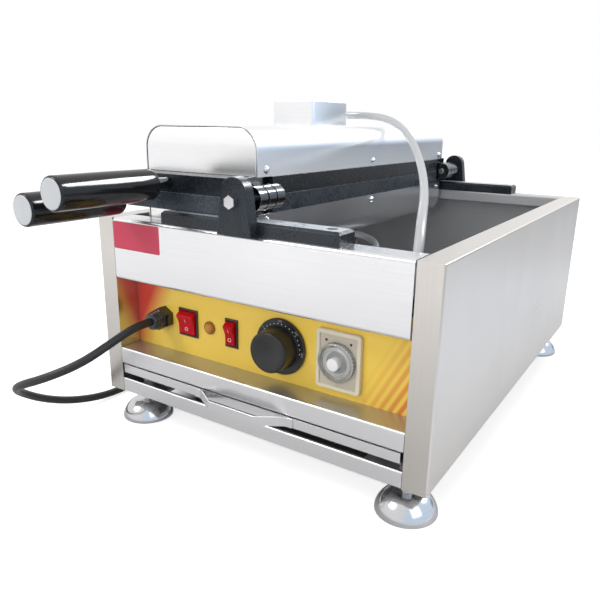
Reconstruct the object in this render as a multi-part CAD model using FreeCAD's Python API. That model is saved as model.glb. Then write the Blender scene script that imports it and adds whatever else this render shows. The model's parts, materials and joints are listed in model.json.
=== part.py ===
import FreeCAD, Part
import math
import os
from FreeCAD import Vector

os.makedirs("parts", exist_ok=True)

# Two-plate waffle cone maker. Sizes are in millimetres.
# X runs across with the mould hinge at zero, Y runs back from the casing's front, Z runs up from the table.

# Casing
casing_width = 392.0
casing_depth = 556.0
casing_height = 200.0
casing_bottom = 38.5
sheet = 1.2
bend_inside = 0.8
front_bend_inside = 2.2
post_width = 23.0
front_flange = 32.0
rear_flange = 30.0
flange_lip = 14.0
edge_radius = 1.6
seam_left = 0.5
seam_right = 1.6
seam_rear = 0.5

# Front, as heights above the casing's bottom edge
rail_height = 16.5
tray_height = 23.0
strip_height = 34.2
ledge_height = 53.3
soffit_height = 133.5
controls_height = 90.0
recess_depth = 29.0
rail_return = 12.0
rail_hem = 3.0
strip_return = 10.0
panel_overlap = 9.0
control_box_depth = 86.0
control_opening = 346.0

# Crumb tray
tray_side_gap = 3.0
tray_rear_gap = 56.0
tray_wall = 1.0
tray_top_gap = 0.8
runner_gap = 0.3
runner_width = 34.0
runner_upstand = 18.0
pull_reach = 16.0
pull_bar_half = 28.5
pull_foot_half = 53.0
pull_tab = 8.0
pull_height = 9.6
pull_thickness = 1.6

# Feet
foot_radius = 29.0
foot_rim = 4.0
foot_neck_radius = 13.5
foot_bell_height = 20.0
foot_shoulder_height = 13.0
foot_shoulder_radius = 24.5
foot_bulge = 9.0
foot_edge = 0.7
foot_inset_x = 29.0
foot_inset_y = 29.0
foot_plate_side = 68.0
foot_plate_thickness = 3.0
foot_plate_gap = 1.0
stud_radius = 5.0
stud_clearance = 0.08
foot_nut_flats = 17.0
foot_top_nut = 8.0
foot_low_nut = 11.0
stud_spare = 3.0
stud_edge = 0.6

# Rest bars, brackets and hinge pins
bar_half_length = 103.0
bar_front = 3.0
bar_rear = 29.0
bar_height = 13.0
bar_bevel = 2.5
bar_screw_x = 88.0
bar_screw_radius = 2.5
bar_screw_head = 5.2
bar_screw_cone = 2.7
bar_screw_reach = 6.0
screw_clearance = 0.1
bracket_front = -9.0
bracket_half_base = 20.0
bracket_height = 53.0
bracket_top_radius = 14.0
bracket_edge = 1.0
hinge_height = 31.0
pin_radius = 4.0
pin_clearance = 0.06
pin_head_flats = 11.0
pin_head = 6.0
pin_end = 59.0

# Mould plates and hinge leaves
plate_far = -163.0
plate_near = -6.0
plate_front = 12.0
plate_thickness = 17.5
plate_corner = 3.0
parting_gap = 0.2
cavity_radius = 62.0
cavity_spacing = 165.0
cavity_depth = 3.0
pad_height = 1.6
pad_side = 12.5
pad_pitch = 18.0
pad_margin = 2.0
knuckle_radius = 12.0
knuckle_front = 17.0
knuckle_width = 11.5
knuckle_gap = 2.2
leaf_gap = 0.6
leaf_thickness = 7.0
leaf_front = 15.0
leaf_rear = 58.0
leaf_tab_height = 12.0
notch_rear = 60.0

# Covers and their screws
cover_far = -157.0
cover_near = -8.0
cover_end_margin = 38.0
cover_height = 47.0
cover_corner = 24.0
cover_screw_height = 6.5
cover_screw_front = 52.0
cover_screw_head = 4.0
cover_screw_dome = 2.6
cover_screw_radius = 2.0
cover_screw_length = 9.0
boss_size = 12.0

# Junction boxes and heaters
box_far = -112.0
box_near = -53.0
box_front = 206.0
box_rear = 288.0
box_height = 30.0
box_wall = 1.2
box_edge = 5.0
wire_hole = 12.0
heater_radius = 4.0
heater_sunk = 0.1
heater_near = -45.0
heater_far = -125.0
heater_end_margin = 60.0
heater_leg_front = -72.0
heater_leg_gap = 15.0
heater_rise = 24.0
heater_bend = 10.0
heater_straight = 0.5

# Handles
handle_rod_radius = 6.0
handle_rod_clearance = 0.03
handle_rod_in = 20.0
grip_radius = 15.3
grip_round = 4.0
grip_lip = 1.2
grip_rear = -11.0
upper_grip_x = -99.5
upper_grip_length = 110.0
lower_grip_x = -148.0
lower_grip_length = 106.0
cap_radius = 13.4
cap_clearance = 0.3
cap_depth = 3.0
cap_stand = 0.6
cap_edge = 0.8

# Flexible conduits
conduit_radius = 4.5
tube_end_gap = 0.3
bend_share = 0.45
ferrule_nut_radius = 9.0
ferrule_nut = 5.0
ferrule_radius = 7.0
ferrule_length = 14.0
ferrule_bore = 3.2
ferrule_edge = 0.8
ferrule_x = -68.0
ferrule_inset = 14.5
gland_top_inset = 19.0
gland_top_y = 46.0
gland_back_x = 47.0
gland_back_drop = 32.0
gland_flats = 20.0
gland_nut = 6.0
gland_radius = 8.0
gland_length = 14.0

# Switches
bezel_height = 31.0
bezel_thickness = 2.0
bezel_rim = 1.9
bezel_edge = 0.8
switch_depth = 26.0
switch_wall = 1.4
wide_switch_place = -95.0
wide_bezel = 27.0
narrow_switch_place = -35.0
narrow_bezel = 16.5
cutout_gap = 0.2
rocker_gap = 0.4
rocker_pivot = 4.0
rocker_front = 8.6
rocker_middle = 6.8
rocker_back = 1.0
rocker_rest_tilt = 12.0
rocker_round = 0.8

# Lamp, thermostat and timer
lamp_place = -65.0
lamp_radius = 7.2
lamp_dome = 6.0
lamp_round = 4.0
lamp_stem_radius = 5.8
lamp_stem = 22.0
thermostat_place = 27.5
knob_skirt_radius = 28.6
knob_skirt = 3.0
knob_panel_gap = 1.0
knob_radius = 21.5
knob_front_radius = 20.4
knob_height = 24.5
knob_dish = 1.4
knob_edge = 2.5
knob_skirt_edge = 0.7
knob_dish_round = 12.0
shaft_radius = 3.0
shaft_clearance = 0.05
thermostat_width = 46.0
thermostat_height = 36.0
thermostat_depth = 28.0
shaft_in = 10.0
shaft_end_gap = 0.5
timer_place = 93.0
timer_width = 47.0
timer_height = 58.0
timer_stand = 5.0
timer_corner = 4.0
timer_rim = 4.0
timer_edge = 1.2
timer_recess = 1.2
timer_face_thickness = 0.8
timer_body_width = 40.0
timer_body_height = 50.0
timer_body_depth = 52.0
timer_dial_radius = 18.8
timer_dial_wall = 1.6
timer_dial_height = 6.0
timer_dial_gap = 0.6
timer_dial_edge = 0.6
timer_hub_radius = 6.2
timer_hub_height = 9.0
timer_hub_edge = 1.0
timer_shaft_radius = 2.5
timer_shaft_in = 12.0

# Power cord, coil and plug
cord_radius = 4.4
inlet_place = -130.0
inlet_flats = 26.0
inlet_nut = 12.0
inlet_mouth = 5.0
inlet_collar_radius = 11.0
inlet_mouth_radius = 8.5
inlet_thread_radius = 9.8
inlet_thread = 16.0
inlet_locknut = 5.0
inlet_mouth_round = 2.0
tie_thickness = 0.8
tie_gap = 0.3
tie_width = 10.0
tie_corner = 2.0
coil_x = -296.0
coil_y = 230.0
coil_first_radius = 60.0
coil_step = 6.3
coil_layer_crossings = 4
coil_layer = 11.0
coil_lead = 10.0
plug_relief = 24.0
plug_relief_radius = 7.5
plug_relief_wall = 0.8
plug_length = 36.0
plug_shoulder = 6.0
plug_shoulder_round = 3.0
plug_edge = 1.0
plug_pin_radius = 2.4
plug_pin_length = 19.0
plug_pin_spacing = 19.0

# Places that follow from the sizes
half_width = casing_width / 2.0
inner_edge = half_width - post_width
casing_top = casing_bottom + casing_height
rail_top = casing_bottom + rail_height
tray_bottom = casing_bottom + tray_height
strip_bottom = casing_bottom + strip_height
ledge = casing_bottom + ledge_height
soffit = casing_bottom + soffit_height
controls = casing_bottom + controls_height
panel_back = recess_depth + sheet
panel_half = inner_edge + panel_overlap
panel_bottom = ledge - panel_overlap
panel_top = soffit + panel_overlap
control_box_rear = panel_back + control_box_depth
bar_top = casing_top + bar_height
parting = casing_top + hinge_height
plate_face = parting + parting_gap
plate_back = plate_face + plate_thickness
plate_rear = casing_depth - plate_front
plate_middle = (plate_front + plate_rear) / 2.0
plate_centre_x = (plate_far + plate_near) / 2.0
notch_x = -(knuckle_radius + leaf_gap + leaf_thickness)
cover_top = plate_back + cover_height
cover_front = cover_end_margin
cover_rear = casing_depth - cover_end_margin
cover_screw_level = plate_back + cover_screw_height
cover_screw_places = (cover_screw_front, casing_depth / 2.0, casing_depth - cover_screw_front)
box_top = cover_top + box_height
box_middle_x = (box_far + box_near) / 2.0
box_middle_y = (box_front + box_rear) / 2.0
ferrule_level = cover_top + ferrule_inset
conduit_start = box_rear + ferrule_length + tube_end_gap
gland_top_x = inner_edge - gland_top_inset
gland_back_level = panel_top - gland_back_drop
grip_level = plate_face + plate_thickness / 2.0
foot_plate_bottom = casing_bottom + sheet
foot_plate_top = foot_plate_bottom + foot_plate_thickness
tray_half = inner_edge - tray_side_gap
tray_depth = casing_depth - tray_rear_gap
switch_opening = bezel_height / 2.0 - bezel_rim
rocker_radius = switch_opening - rocker_gap
bezel_front = recess_depth - bezel_thickness
rocker_axis_y = bezel_front + rocker_pivot
control_spread = 2.0 * inner_edge / control_opening
inlet_x = inlet_place * control_spread
wide_switch_x = wide_switch_place * control_spread
lamp_x = lamp_place * control_spread
narrow_switch_x = narrow_switch_place * control_spread
thermostat_x = thermostat_place * control_spread
timer_x = timer_place * control_spread
timer_front = recess_depth - timer_stand
timer_face_front = timer_front + timer_recess
cord_floor = tie_thickness + tie_gap + cord_radius
coil_upper_layer = cord_floor + coil_layer
coil_inner_radius = coil_first_radius - coil_step * (coil_layer_crossings - 1)
plug_radius = coil_upper_layer
front_reach = grip_rear - upper_grip_length - cap_stand
rear_reach = casing_depth - bracket_front + pin_head

tiny = 0.01
ALONG_X = Vector(1, 0, 0)
BACK = Vector(0, 1, 0)
UP = Vector(0, 0, 1)


# Shape helpers

def block(x0, x1, y0, y1, z0, z1):
    return Part.makeBox(x1 - x0, y1 - y0, z1 - z0, Vector(x0, y0, z0))


def rod(radius, start, along):
    return Part.makeCylinder(radius, along.Length, start, along)


def side_of(along):
    if abs(along.z) > 0.5 * along.Length:
        return ALONG_X
    return UP


def hex_bar(flats, start, along):
    axis = Vector(along).normalize()
    side = side_of(along)
    other = axis.cross(side)
    radius = flats / math.sqrt(3.0)
    corners = []
    for step in range(6):
        turn = math.radians(60.0 * step)
        corners.append(start + side * (radius * math.cos(turn)) + other * (radius * math.sin(turn)))
    return Part.Face(Part.makePolygon(corners + corners[:1])).extrude(along)


def rounded_edges(points, radii, closed):
    count = len(points)
    corners = []
    for index, corner in enumerate(points):
        turning = closed or 0 < index < count - 1
        if radii[index] <= 0.0 or not turning:
            corners.append((corner, None, corner))
            continue
        before = (points[index - 1] - corner).normalize()
        after = (points[(index + 1) % count] - corner).normalize()
        half = before.getAngle(after) / 2.0
        reach = radii[index] / math.tan(half)
        inward = (before + after).normalize()
        crown = corner + inward * (radii[index] / math.sin(half) - radii[index])
        corners.append((corner + before * reach, crown, corner + after * reach))
    edges = []
    for index, (entry, crown, leave) in enumerate(corners):
        if crown is not None:
            edges.append(Part.Arc(entry, crown, leave).toShape())
        if closed or index < count - 1:
            following = corners[(index + 1) % count][0]
            if (following - leave).Length > 1e-6:
                edges.append(Part.LineSegment(leave, following).toShape())
    return edges


def rounded_prism(points, radii, along):
    return Part.Face(Part.Wire(rounded_edges(points, radii, True))).extrude(along)


def turned(profile, radii, start, along):
    axis = Vector(along).normalize()
    side = side_of(along)
    points = []
    for distance, radius in profile:
        points.append(start + axis * distance + side * radius)
    face = Part.Face(Part.Wire(rounded_edges(points, radii, True)))
    return face.revolve(start, axis, 360.0)


def round_ended(radius, edge, start, along):
    profile = [(0.0, 0.0), (0.0, radius), (along.Length, radius), (along.Length, 0.0)]
    return turned(profile, [0.0, 0.0, edge, 0.0], start, along)


def folded(path, thickness, inside, place, along):
    """Sheet bent along a path; the sheet lies to the left of the path."""
    count = len(path)
    lefts = []
    for (a0, b0), (a1, b1) in zip(path, path[1:]):
        length = math.hypot(a1 - a0, b1 - b0)
        lefts.append((-(b1 - b0) / length, (a1 - a0) / length))
    other = []
    path_radii = [0.0] * count
    other_radii = [0.0] * count
    for index, (a, b) in enumerate(path):
        first = lefts[max(index - 1, 0)]
        second = lefts[min(index, count - 2)]
        scale = thickness / (1.0 + first[0] * second[0] + first[1] * second[1])
        other.append((a + scale * (first[0] + second[0]), b + scale * (first[1] + second[1])))
        if 0 < index < count - 1:
            to_left = first[0] * second[1] - first[1] * second[0] > 0.0
            path_radii[index] = inside + thickness if to_left else inside
            other_radii[index] = inside if to_left else inside + thickness
    points = [place(a, b) for a, b in path + other[::-1]]
    return rounded_prism(points, path_radii + other_radii[::-1], along)


def rounded_side_block(limits, side, radius):
    solid = block(*limits)
    edges = []
    for edge in solid.Edges:
        ends = [vertex.Point[side // 2] for vertex in edge.Vertexes]
        if max(abs(end - limits[side]) for end in ends) < 1e-6:
            edges.append(edge)
    return solid.makeFillet(radius, edges)


def open_box(limits, wall, open_side, radius):
    """Box with walls on five sides, its edges rounded opposite the open side."""
    inner = []
    for index, value in enumerate(limits):
        outward = -wall if index % 2 == 0 else wall
        inner.append(value + outward if index == open_side else value - outward)
    outer = rounded_side_block(limits, open_side ^ 1, radius)
    if radius <= wall:
        return outer.cut(block(*inner))
    return outer.cut(rounded_side_block(inner, open_side ^ 1, radius - wall))


LEFT_SIDE, RIGHT_SIDE, FRONT_SIDE, REAR_SIDE, BOTTOM_SIDE, TOP_SIDE = range(6)


def across(shape):
    return shape.mirror(Vector(0, 0, 0), ALONG_X)


def to_rear(shape):
    return shape.mirror(Vector(0, casing_depth / 2.0, 0), BACK)


def below(shape):
    return shape.mirror(Vector(0, 0, parting), UP)


def group(shapes):
    return Part.makeCompound(shapes)


def bend_radii(points):
    radii = [0.0]
    for before, corner, after in zip(points, points[1:], points[2:]):
        shorter = min((corner - before).Length, (after - corner).Length)
        turn = (corner - before).getAngle(after - corner)
        radii.append(bend_share * shorter / math.tan(turn / 2.0))
    return radii + [0.0]


def tube_along(edges, radius, start, heading):
    path = Part.Wire(edges)
    outline = Part.Wire(Part.makeCircle(radius, start, heading))
    tube = path.makePipeShell([outline], True, False)
    section = math.pi * radius * radius
    print("tube volume", round(tube.Volume), "section times length", round(section * path.Length))
    return tube


def cord_tube(points, radius):
    radii = bend_radii(points)
    print("bend radii", [round(value, 1) for value in radii[1:-1]])
    return tube_along(rounded_edges(points, radii, False), radius, points[0], points[1] - points[0])


# Casing pieces

def side_panel_right():
    limits = (inner_edge, half_width, 0.0, casing_depth, casing_bottom, casing_top)
    panel = open_box(limits, sheet, LEFT_SIDE, edge_radius)
    lip = block(inner_edge, inner_edge + sheet, 0.0, casing_depth, casing_top - flange_lip, casing_top)
    cheek = block(inner_edge, inner_edge + sheet, 0.0, recess_depth, strip_bottom, casing_top)
    return panel.fuse([lip, cheek]).removeSplitter()


def bar_screw_holes(depth_place):
    holes = []
    for x in (-bar_screw_x, bar_screw_x):
        start = Vector(x, depth_place, casing_top - flange_lip)
        holes.append(rod(bar_screw_radius + screw_clearance, start, UP * (flange_lip + bar_height)))
    return holes


def front_plate():
    path = [
        (front_flange, casing_top - flange_lip),
        (front_flange, casing_top),
        (0.0, casing_top),
        (0.0, soffit),
        (recess_depth, soffit),
    ]
    left = -inner_edge + seam_left
    width = 2.0 * inner_edge - seam_left - seam_right
    plate = folded(path, sheet, front_bend_inside, lambda y, z: Vector(left, y, z), ALONG_X * width)
    return plate.cut(bar_screw_holes((bar_front + bar_rear) / 2.0))


def front_strip():
    path = [(recess_depth, ledge), (0.0, ledge), (0.0, strip_bottom), (strip_return, strip_bottom)]
    left = -inner_edge + seam_left
    width = 2.0 * (inner_edge - seam_left)
    return folded(path, sheet, bend_inside, lambda y, z: Vector(left, y, z), ALONG_X * width)


def bottom_rail():
    path = [(rail_hem, rail_top), (0.0, rail_top), (0.0, casing_bottom), (rail_return, casing_bottom)]
    left = -inner_edge + seam_left
    width = 2.0 * (inner_edge - seam_left)
    return folded(path, sheet, bend_inside, lambda y, z: Vector(left, y, z), ALONG_X * width)


def rear_panel():
    path = [
        (casing_depth - rail_return, casing_bottom),
        (casing_depth, casing_bottom),
        (casing_depth, casing_top),
        (casing_depth - rear_flange, casing_top),
        (casing_depth - rear_flange, casing_top - flange_lip),
    ]
    left = -inner_edge + seam_rear
    width = 2.0 * (inner_edge - seam_rear)
    panel = folded(path, sheet, bend_inside, lambda y, z: Vector(left, y, z), ALONG_X * width)
    return panel.cut(bar_screw_holes(casing_depth - (bar_front + bar_rear) / 2.0))


def switch_hole(x, bezel):
    half = bezel / 2.0 - bezel_rim + switch_wall + cutout_gap
    tall = switch_opening + switch_wall + cutout_gap
    return block(x - half, x + half, recess_depth, panel_back, controls - tall, controls + tall)


def control_panel():
    panel = block(-panel_half, panel_half, recess_depth, panel_back, panel_bottom, panel_top)
    through = BACK * sheet
    half = timer_body_width / 2.0 + cutout_gap
    tall = timer_body_height / 2.0 + cutout_gap
    holes = [
        rod(inlet_thread_radius + cutout_gap, Vector(inlet_x, recess_depth, controls), through),
        rod(lamp_stem_radius + cutout_gap, Vector(lamp_x, recess_depth, controls), through),
        rod(shaft_radius + cutout_gap, Vector(thermostat_x, recess_depth, controls), through),
        block(timer_x - half, timer_x + half, recess_depth, panel_back, controls - tall, controls + tall),
        switch_hole(wide_switch_x, wide_bezel),
        switch_hole(narrow_switch_x, narrow_bezel),
    ]
    return panel.cut(holes)


def control_box():
    limits = (-panel_half, panel_half, panel_back, control_box_rear, panel_bottom, panel_top)
    shell = open_box(limits, sheet, FRONT_SIDE, edge_radius)
    top_hole = rod(ferrule_bore, Vector(gland_top_x, gland_top_y, panel_top - sheet), UP * sheet)
    back_start = Vector(gland_back_x, control_box_rear - sheet, gland_back_level)
    return shell.cut([top_hole, rod(ferrule_bore, back_start, BACK * sheet)])


def tray_runners():
    level = tray_bottom - runner_gap - sheet
    wall = half_width - sheet
    path = [(wall - runner_width, level), (wall, level), (wall, level + runner_upstand)]
    front = front_flange
    length = casing_depth - 2.0 * front_flange
    runner = folded(path, sheet, bend_inside, lambda x, z: Vector(x, front, z), BACK * length)
    return group([runner, across(runner)])


def crumb_tray():
    limits = (-tray_half, tray_half, 0.0, tray_depth, tray_bottom, strip_bottom - tray_top_gap)
    return open_box(limits, tray_wall, TOP_SIDE, edge_radius)


def tray_pull():
    path = [
        (pull_foot_half + pull_tab, 0.0),
        (pull_foot_half, 0.0),
        (pull_bar_half, -pull_reach),
        (-pull_bar_half, -pull_reach),
        (-pull_foot_half, 0.0),
        (-pull_foot_half - pull_tab, 0.0),
    ]
    bottom = tray_bottom + edge_radius - tray_top_gap
    bend = 2.0 * pull_thickness
    return folded(path, pull_thickness, bend, lambda x, y: Vector(x, y, bottom), UP * pull_height)


def foot_places():
    x = half_width - foot_inset_x
    rear = casing_depth - foot_inset_y
    return [(-x, foot_inset_y), (x, foot_inset_y), (-x, rear), (x, rear)]


def feet():
    top = foot_plate_top + foot_top_nut + stud_spare
    profile = [
        (0.0, 0.0),
        (0.0, foot_radius),
        (foot_rim, foot_radius),
        (foot_shoulder_height, foot_shoulder_radius),
        (foot_bell_height, foot_neck_radius),
        (foot_bell_height, stud_radius),
        (top, stud_radius),
        (top, 0.0),
    ]
    radii = [0.0, foot_edge, foot_bulge, foot_bulge, foot_edge, 0.0, stud_edge, 0.0]
    return group([turned(profile, radii, Vector(x, y, 0.0), UP) for x, y in foot_places()])


def foot_plates():
    plates = []
    outer = half_width - sheet - foot_plate_gap
    inset = sheet + foot_plate_gap
    for x, y in foot_places():
        x0 = -outer if x < 0.0 else outer - foot_plate_side
        y0 = inset if y < casing_depth / 2.0 else casing_depth - inset - foot_plate_side
        limits = (x0, x0 + foot_plate_side, y0, y0 + foot_plate_side, foot_plate_bottom, foot_plate_top)
        start = Vector(x, y, foot_plate_bottom)
        hole = rod(stud_radius + stud_clearance, start, UP * foot_plate_thickness)
        plates.append(block(*limits).cut(hole))
    return group(plates)


def foot_nuts():
    nuts = []
    low_nut = casing_bottom - foot_low_nut
    for x, y in foot_places():
        for level, height in ((low_nut, foot_low_nut), (foot_plate_top, foot_top_nut)):
            start = Vector(x, y, level)
            nut = hex_bar(foot_nut_flats, start, UP * height)
            nuts.append(nut.cut(rod(stud_radius + stud_clearance, start, UP * height)))
    return group(nuts)


# Rest bars, brackets and pins

def countersunk(x, y, clearance):
    top = Vector(x, y, bar_top)
    head = bar_screw_head + clearance
    cone = Part.makeCone(head, bar_screw_radius + clearance, bar_screw_cone, top, -UP)
    shank = rod(bar_screw_radius + clearance, top, -UP * (bar_height + bar_screw_reach))
    return cone.fuse(shank)


def rest_bar_front():
    bar = block(-bar_half_length, bar_half_length, bar_front, bar_rear, casing_top, bar_top)
    upper_edges = [edge for edge in bar.Edges if edge.CenterOfMass.z > bar_top - tiny]
    bar = bar.makeChamfer(bar_bevel, upper_edges)
    middle = (bar_front + bar_rear) / 2.0
    return bar.cut([countersunk(x, middle, screw_clearance) for x in (-bar_screw_x, bar_screw_x)])


def bar_screws():
    middle = (bar_front + bar_rear) / 2.0
    front = [countersunk(x, middle, 0.0) for x in (-bar_screw_x, bar_screw_x)]
    return group(front + [to_rear(screw) for screw in front])


def hinge_bracket_front():
    centre = casing_top + bracket_height - bracket_top_radius
    drop = centre - casing_top
    reach = math.hypot(bracket_half_base, drop)
    lean = math.atan2(-drop, bracket_half_base) + math.acos(bracket_top_radius / reach)
    side_x = bracket_top_radius * math.cos(lean)
    side_z = centre + bracket_top_radius * math.sin(lean)
    y = bracket_front
    base_right = Vector(bracket_half_base, y, casing_top)
    base_left = Vector(-bracket_half_base, y, casing_top)
    right = Vector(side_x, y, side_z)
    left = Vector(-side_x, y, side_z)
    crown = Vector(0.0, y, casing_top + bracket_height)
    edges = [
        Part.LineSegment(base_left, base_right).toShape(),
        Part.LineSegment(base_right, right).toShape(),
        Part.Arc(right, crown, left).toShape(),
        Part.LineSegment(left, base_left).toShape(),
    ]
    depth = BACK * (bar_front - bracket_front)
    bracket = Part.Face(Part.Wire(edges)).extrude(depth)
    rim = []
    for edge in bracket.Edges:
        box = edge.BoundBox
        if box.YMax < y + tiny and box.ZMax > casing_top + bracket_edge:
            rim.append(edge)
    bracket = bracket.makeFillet(bracket_edge, rim)
    return bracket.cut(rod(pin_radius + pin_clearance, Vector(0.0, y, parting), depth))


def hinge_pin_front():
    head = hex_bar(pin_head_flats, Vector(0.0, bracket_front - pin_head, parting), BACK * pin_head)
    shank = rod(pin_radius, Vector(0.0, bracket_front, parting), BACK * (pin_end - bracket_front))
    return head.fuse(shank)


# Mould pieces, drawn for the upper mould

def heater_path():
    level = plate_back
    front = plate_front + heater_end_margin
    rear = plate_rear - heater_end_margin
    leg_front = box_middle_y + heater_leg_gap
    leg_rear = box_middle_y - heater_leg_gap
    points = [
        Vector(heater_leg_front, leg_front, level + heater_rise),
        Vector(heater_leg_front, leg_front, level),
        Vector(heater_leg_front, front, level),
        Vector(heater_far, front, level),
        Vector(heater_far, rear, level),
        Vector(heater_near, rear, level),
        Vector(heater_near, leg_rear, level),
        Vector(heater_near, leg_rear, level + heater_rise),
    ]
    front_turn = (heater_leg_front - heater_far) / 2.0 - heater_straight
    rear_turn = (heater_near - heater_far) / 2.0 - heater_straight
    radii = [0.0, heater_bend, front_turn, front_turn, rear_turn, rear_turn, heater_bend, 0.0]
    return points, radii


def heater(radius):
    points, radii = heater_path()
    return tube_along(rounded_edges(points, radii, False), radius, points[0], points[1] - points[0])


def cavity(centre_y):
    recess = cavity_depth - pad_height
    centre = Vector(plate_centre_x, centre_y, plate_face)
    level = centre + UP * recess
    outlines = [Part.Wire(Part.makeCircle(cavity_radius, level))]
    half = pad_side / math.sqrt(2.0)
    reach = int(cavity_radius / pad_pitch) + 1
    step = pad_pitch / math.sqrt(2.0)
    for row in range(-reach, reach + 1):
        for column in range(-reach, reach + 1):
            place = Vector((row - column) * step, (row + column) * step, 0.0)
            if place.Length + half > cavity_radius - pad_margin:
                continue
            middle = level + place
            corners = [middle + way * half for way in (ALONG_X, BACK, -ALONG_X, -BACK)]
            outlines.append(Part.makePolygon(corners + corners[:1]))
    grooves = Part.makeFace(outlines, "Part::FaceMakerBullseye").extrude(UP * pad_height)
    return [rod(cavity_radius, centre, UP * recess), grooves]


def mould_plate(grip_x):
    plate = block(plate_far, plate_near, plate_front, plate_rear, plate_face, plate_back)
    far_corners = []
    for edge in plate.Edges:
        box = edge.BoundBox
        if box.XMax < plate_far + tiny and box.ZLength > tiny:
            far_corners.append(edge)
    plate = plate.makeFillet(plate_corner, far_corners)
    notch = block(notch_x, plate_near, plate_front, notch_rear, plate_face, plate_back)
    rod_start = Vector(grip_x, plate_front, grip_level)
    rod_hole = rod(handle_rod_radius + handle_rod_clearance, rod_start, BACK * handle_rod_in)
    tools = [notch, to_rear(notch), rod_hole, heater(heater_radius + heater_sunk)]
    for offset in (-cavity_spacing, 0.0, cavity_spacing):
        tools.extend(cavity(plate_middle + offset))
    plate = plate.cut(tools)
    bosses = [cover_boss(cover_near - sheet - boss_size, casing_depth / 2.0)]
    for y in cover_screw_places:
        bosses.append(cover_boss(cover_far + sheet, y))
    return plate.fuse(bosses).removeSplitter().cut(screw_shanks(screw_clearance))


def cover_boss(x0, y):
    half = boss_size / 2.0
    return block(x0, x0 + boss_size, y - half, y + half, plate_back, plate_back + boss_size)


def screw_shanks(clearance):
    shanks = []
    radius = cover_screw_radius + clearance
    for y in cover_screw_places:
        shanks.append(rod(radius, Vector(cover_far, y, cover_screw_level), ALONG_X * cover_screw_length))
        shanks.append(rod(radius, Vector(cover_near, y, cover_screw_level), -ALONG_X * cover_screw_length))
    return shanks


def cover_screws():
    screws = []
    profile = [
        (0.0, 0.0),
        (0.0, cover_screw_head),
        (cover_screw_dome, cover_screw_head / 2.0),
        (cover_screw_dome, 0.0),
    ]
    radii = [0.0, 0.0, cover_screw_dome / 2.0, 0.0]
    for y in cover_screw_places:
        screws.append(turned(profile, radii, Vector(cover_far, y, cover_screw_level), -ALONG_X))
        screws.append(turned(profile, radii, Vector(cover_near, y, cover_screw_level), ALONG_X))
    shanks = screw_shanks(0.0)
    return group([head.fuse(shank) for head, shank in zip(screws, shanks)])


def mould_cover():
    def outline(inset):
        return [
            Vector(cover_far + inset, cover_front + inset, plate_back),
            Vector(cover_near - inset, cover_front + inset, plate_back),
            Vector(cover_near - inset, cover_front + inset, cover_top - inset),
            Vector(cover_far + inset, cover_front + inset, cover_top - inset),
        ]
    length = cover_rear - cover_front
    outer = rounded_prism(outline(0.0), [0.0, 0.0, cover_corner, cover_corner], BACK * length)
    inner_corner = cover_corner - sheet
    inner_length = BACK * (length - 2.0 * sheet)
    inner = rounded_prism(outline(sheet), [0.0, 0.0, inner_corner, inner_corner], inner_length)
    hole = rod(wire_hole, Vector(box_middle_x, box_middle_y, cover_top - sheet), UP * sheet)
    return outer.cut([inner, hole]).cut(screw_shanks(screw_clearance))


def junction_box():
    limits = (box_far, box_near, box_front, box_rear, cover_top, box_top)
    shell = open_box(limits, box_wall, BOTTOM_SIDE, box_edge)
    hole = rod(ferrule_bore, Vector(ferrule_x, box_rear - box_wall, ferrule_level), BACK * box_wall)
    return shell.cut(hole)


def ferrule(start, along):
    profile = [
        (0.0, ferrule_bore),
        (0.0, ferrule_nut_radius),
        (ferrule_nut, ferrule_nut_radius),
        (ferrule_nut, ferrule_radius),
        (ferrule_length, ferrule_radius),
        (ferrule_length, ferrule_bore),
    ]
    radii = [0.0, ferrule_edge, ferrule_edge, 0.0, ferrule_edge, 0.0]
    return turned(profile, radii, start, along)


def box_ferrule():
    return ferrule(Vector(ferrule_x, box_rear, ferrule_level), BACK)


def knuckle(index, arm_from, arm_to):
    front = knuckle_front + index * (knuckle_width + knuckle_gap)
    eye = rod(knuckle_radius, Vector(0.0, front, parting), BACK * knuckle_width)
    arm_end = -(knuckle_radius + leaf_gap)
    arm = block(arm_end, 0.0, front, front + knuckle_width, arm_from, arm_to)
    return eye.fuse(arm)


def hinge_leaf(knuckles):
    leaf = block(notch_x, notch_x + leaf_thickness, leaf_front, leaf_rear, plate_face, plate_back)
    half = boss_size / 2.0
    tab = block(
        notch_x, cover_near - sheet, cover_screw_front - half, cover_screw_front + half, plate_back,
        plate_back + leaf_tab_height)
    eyes = [knuckle(index, plate_face, parting + knuckle_radius) for index in knuckles]
    leaf = leaf.fuse([tab] + eyes).removeSplitter()
    bore_start = Vector(0.0, leaf_front, parting)
    bore = rod(pin_radius + pin_clearance, bore_start, BACK * (leaf_rear - leaf_front))
    return leaf.cut(bore).cut(screw_shanks(screw_clearance))


def hinge_leaves(knuckles):
    leaf = hinge_leaf(knuckles)
    return group([leaf, to_rear(leaf)])


def handle_rod(grip_x, grip_length):
    front = grip_rear - grip_length + cap_depth
    start = Vector(grip_x, front, grip_level)
    return rod(handle_rod_radius, start, BACK * (plate_front + handle_rod_in - front))


def grip(grip_x, grip_length):
    bore = handle_rod_radius + handle_rod_clearance
    pocket = cap_radius + cap_clearance
    profile = [
        (0.0, bore),
        (0.0, grip_radius),
        (grip_length, grip_radius),
        (grip_length, pocket),
        (grip_length - cap_depth, pocket),
        (grip_length - cap_depth, bore),
    ]
    radii = [0.0, grip_round, grip_lip, 0.0, 0.0, 0.0]
    return turned(profile, radii, Vector(grip_x, grip_rear, grip_level), -BACK)


def grip_cap(grip_x, grip_length):
    start = Vector(grip_x, grip_rear - grip_length + cap_depth, grip_level)
    return round_ended(cap_radius, cap_edge, start, -BACK * (cap_depth + cap_stand))


# Conduits

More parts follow.
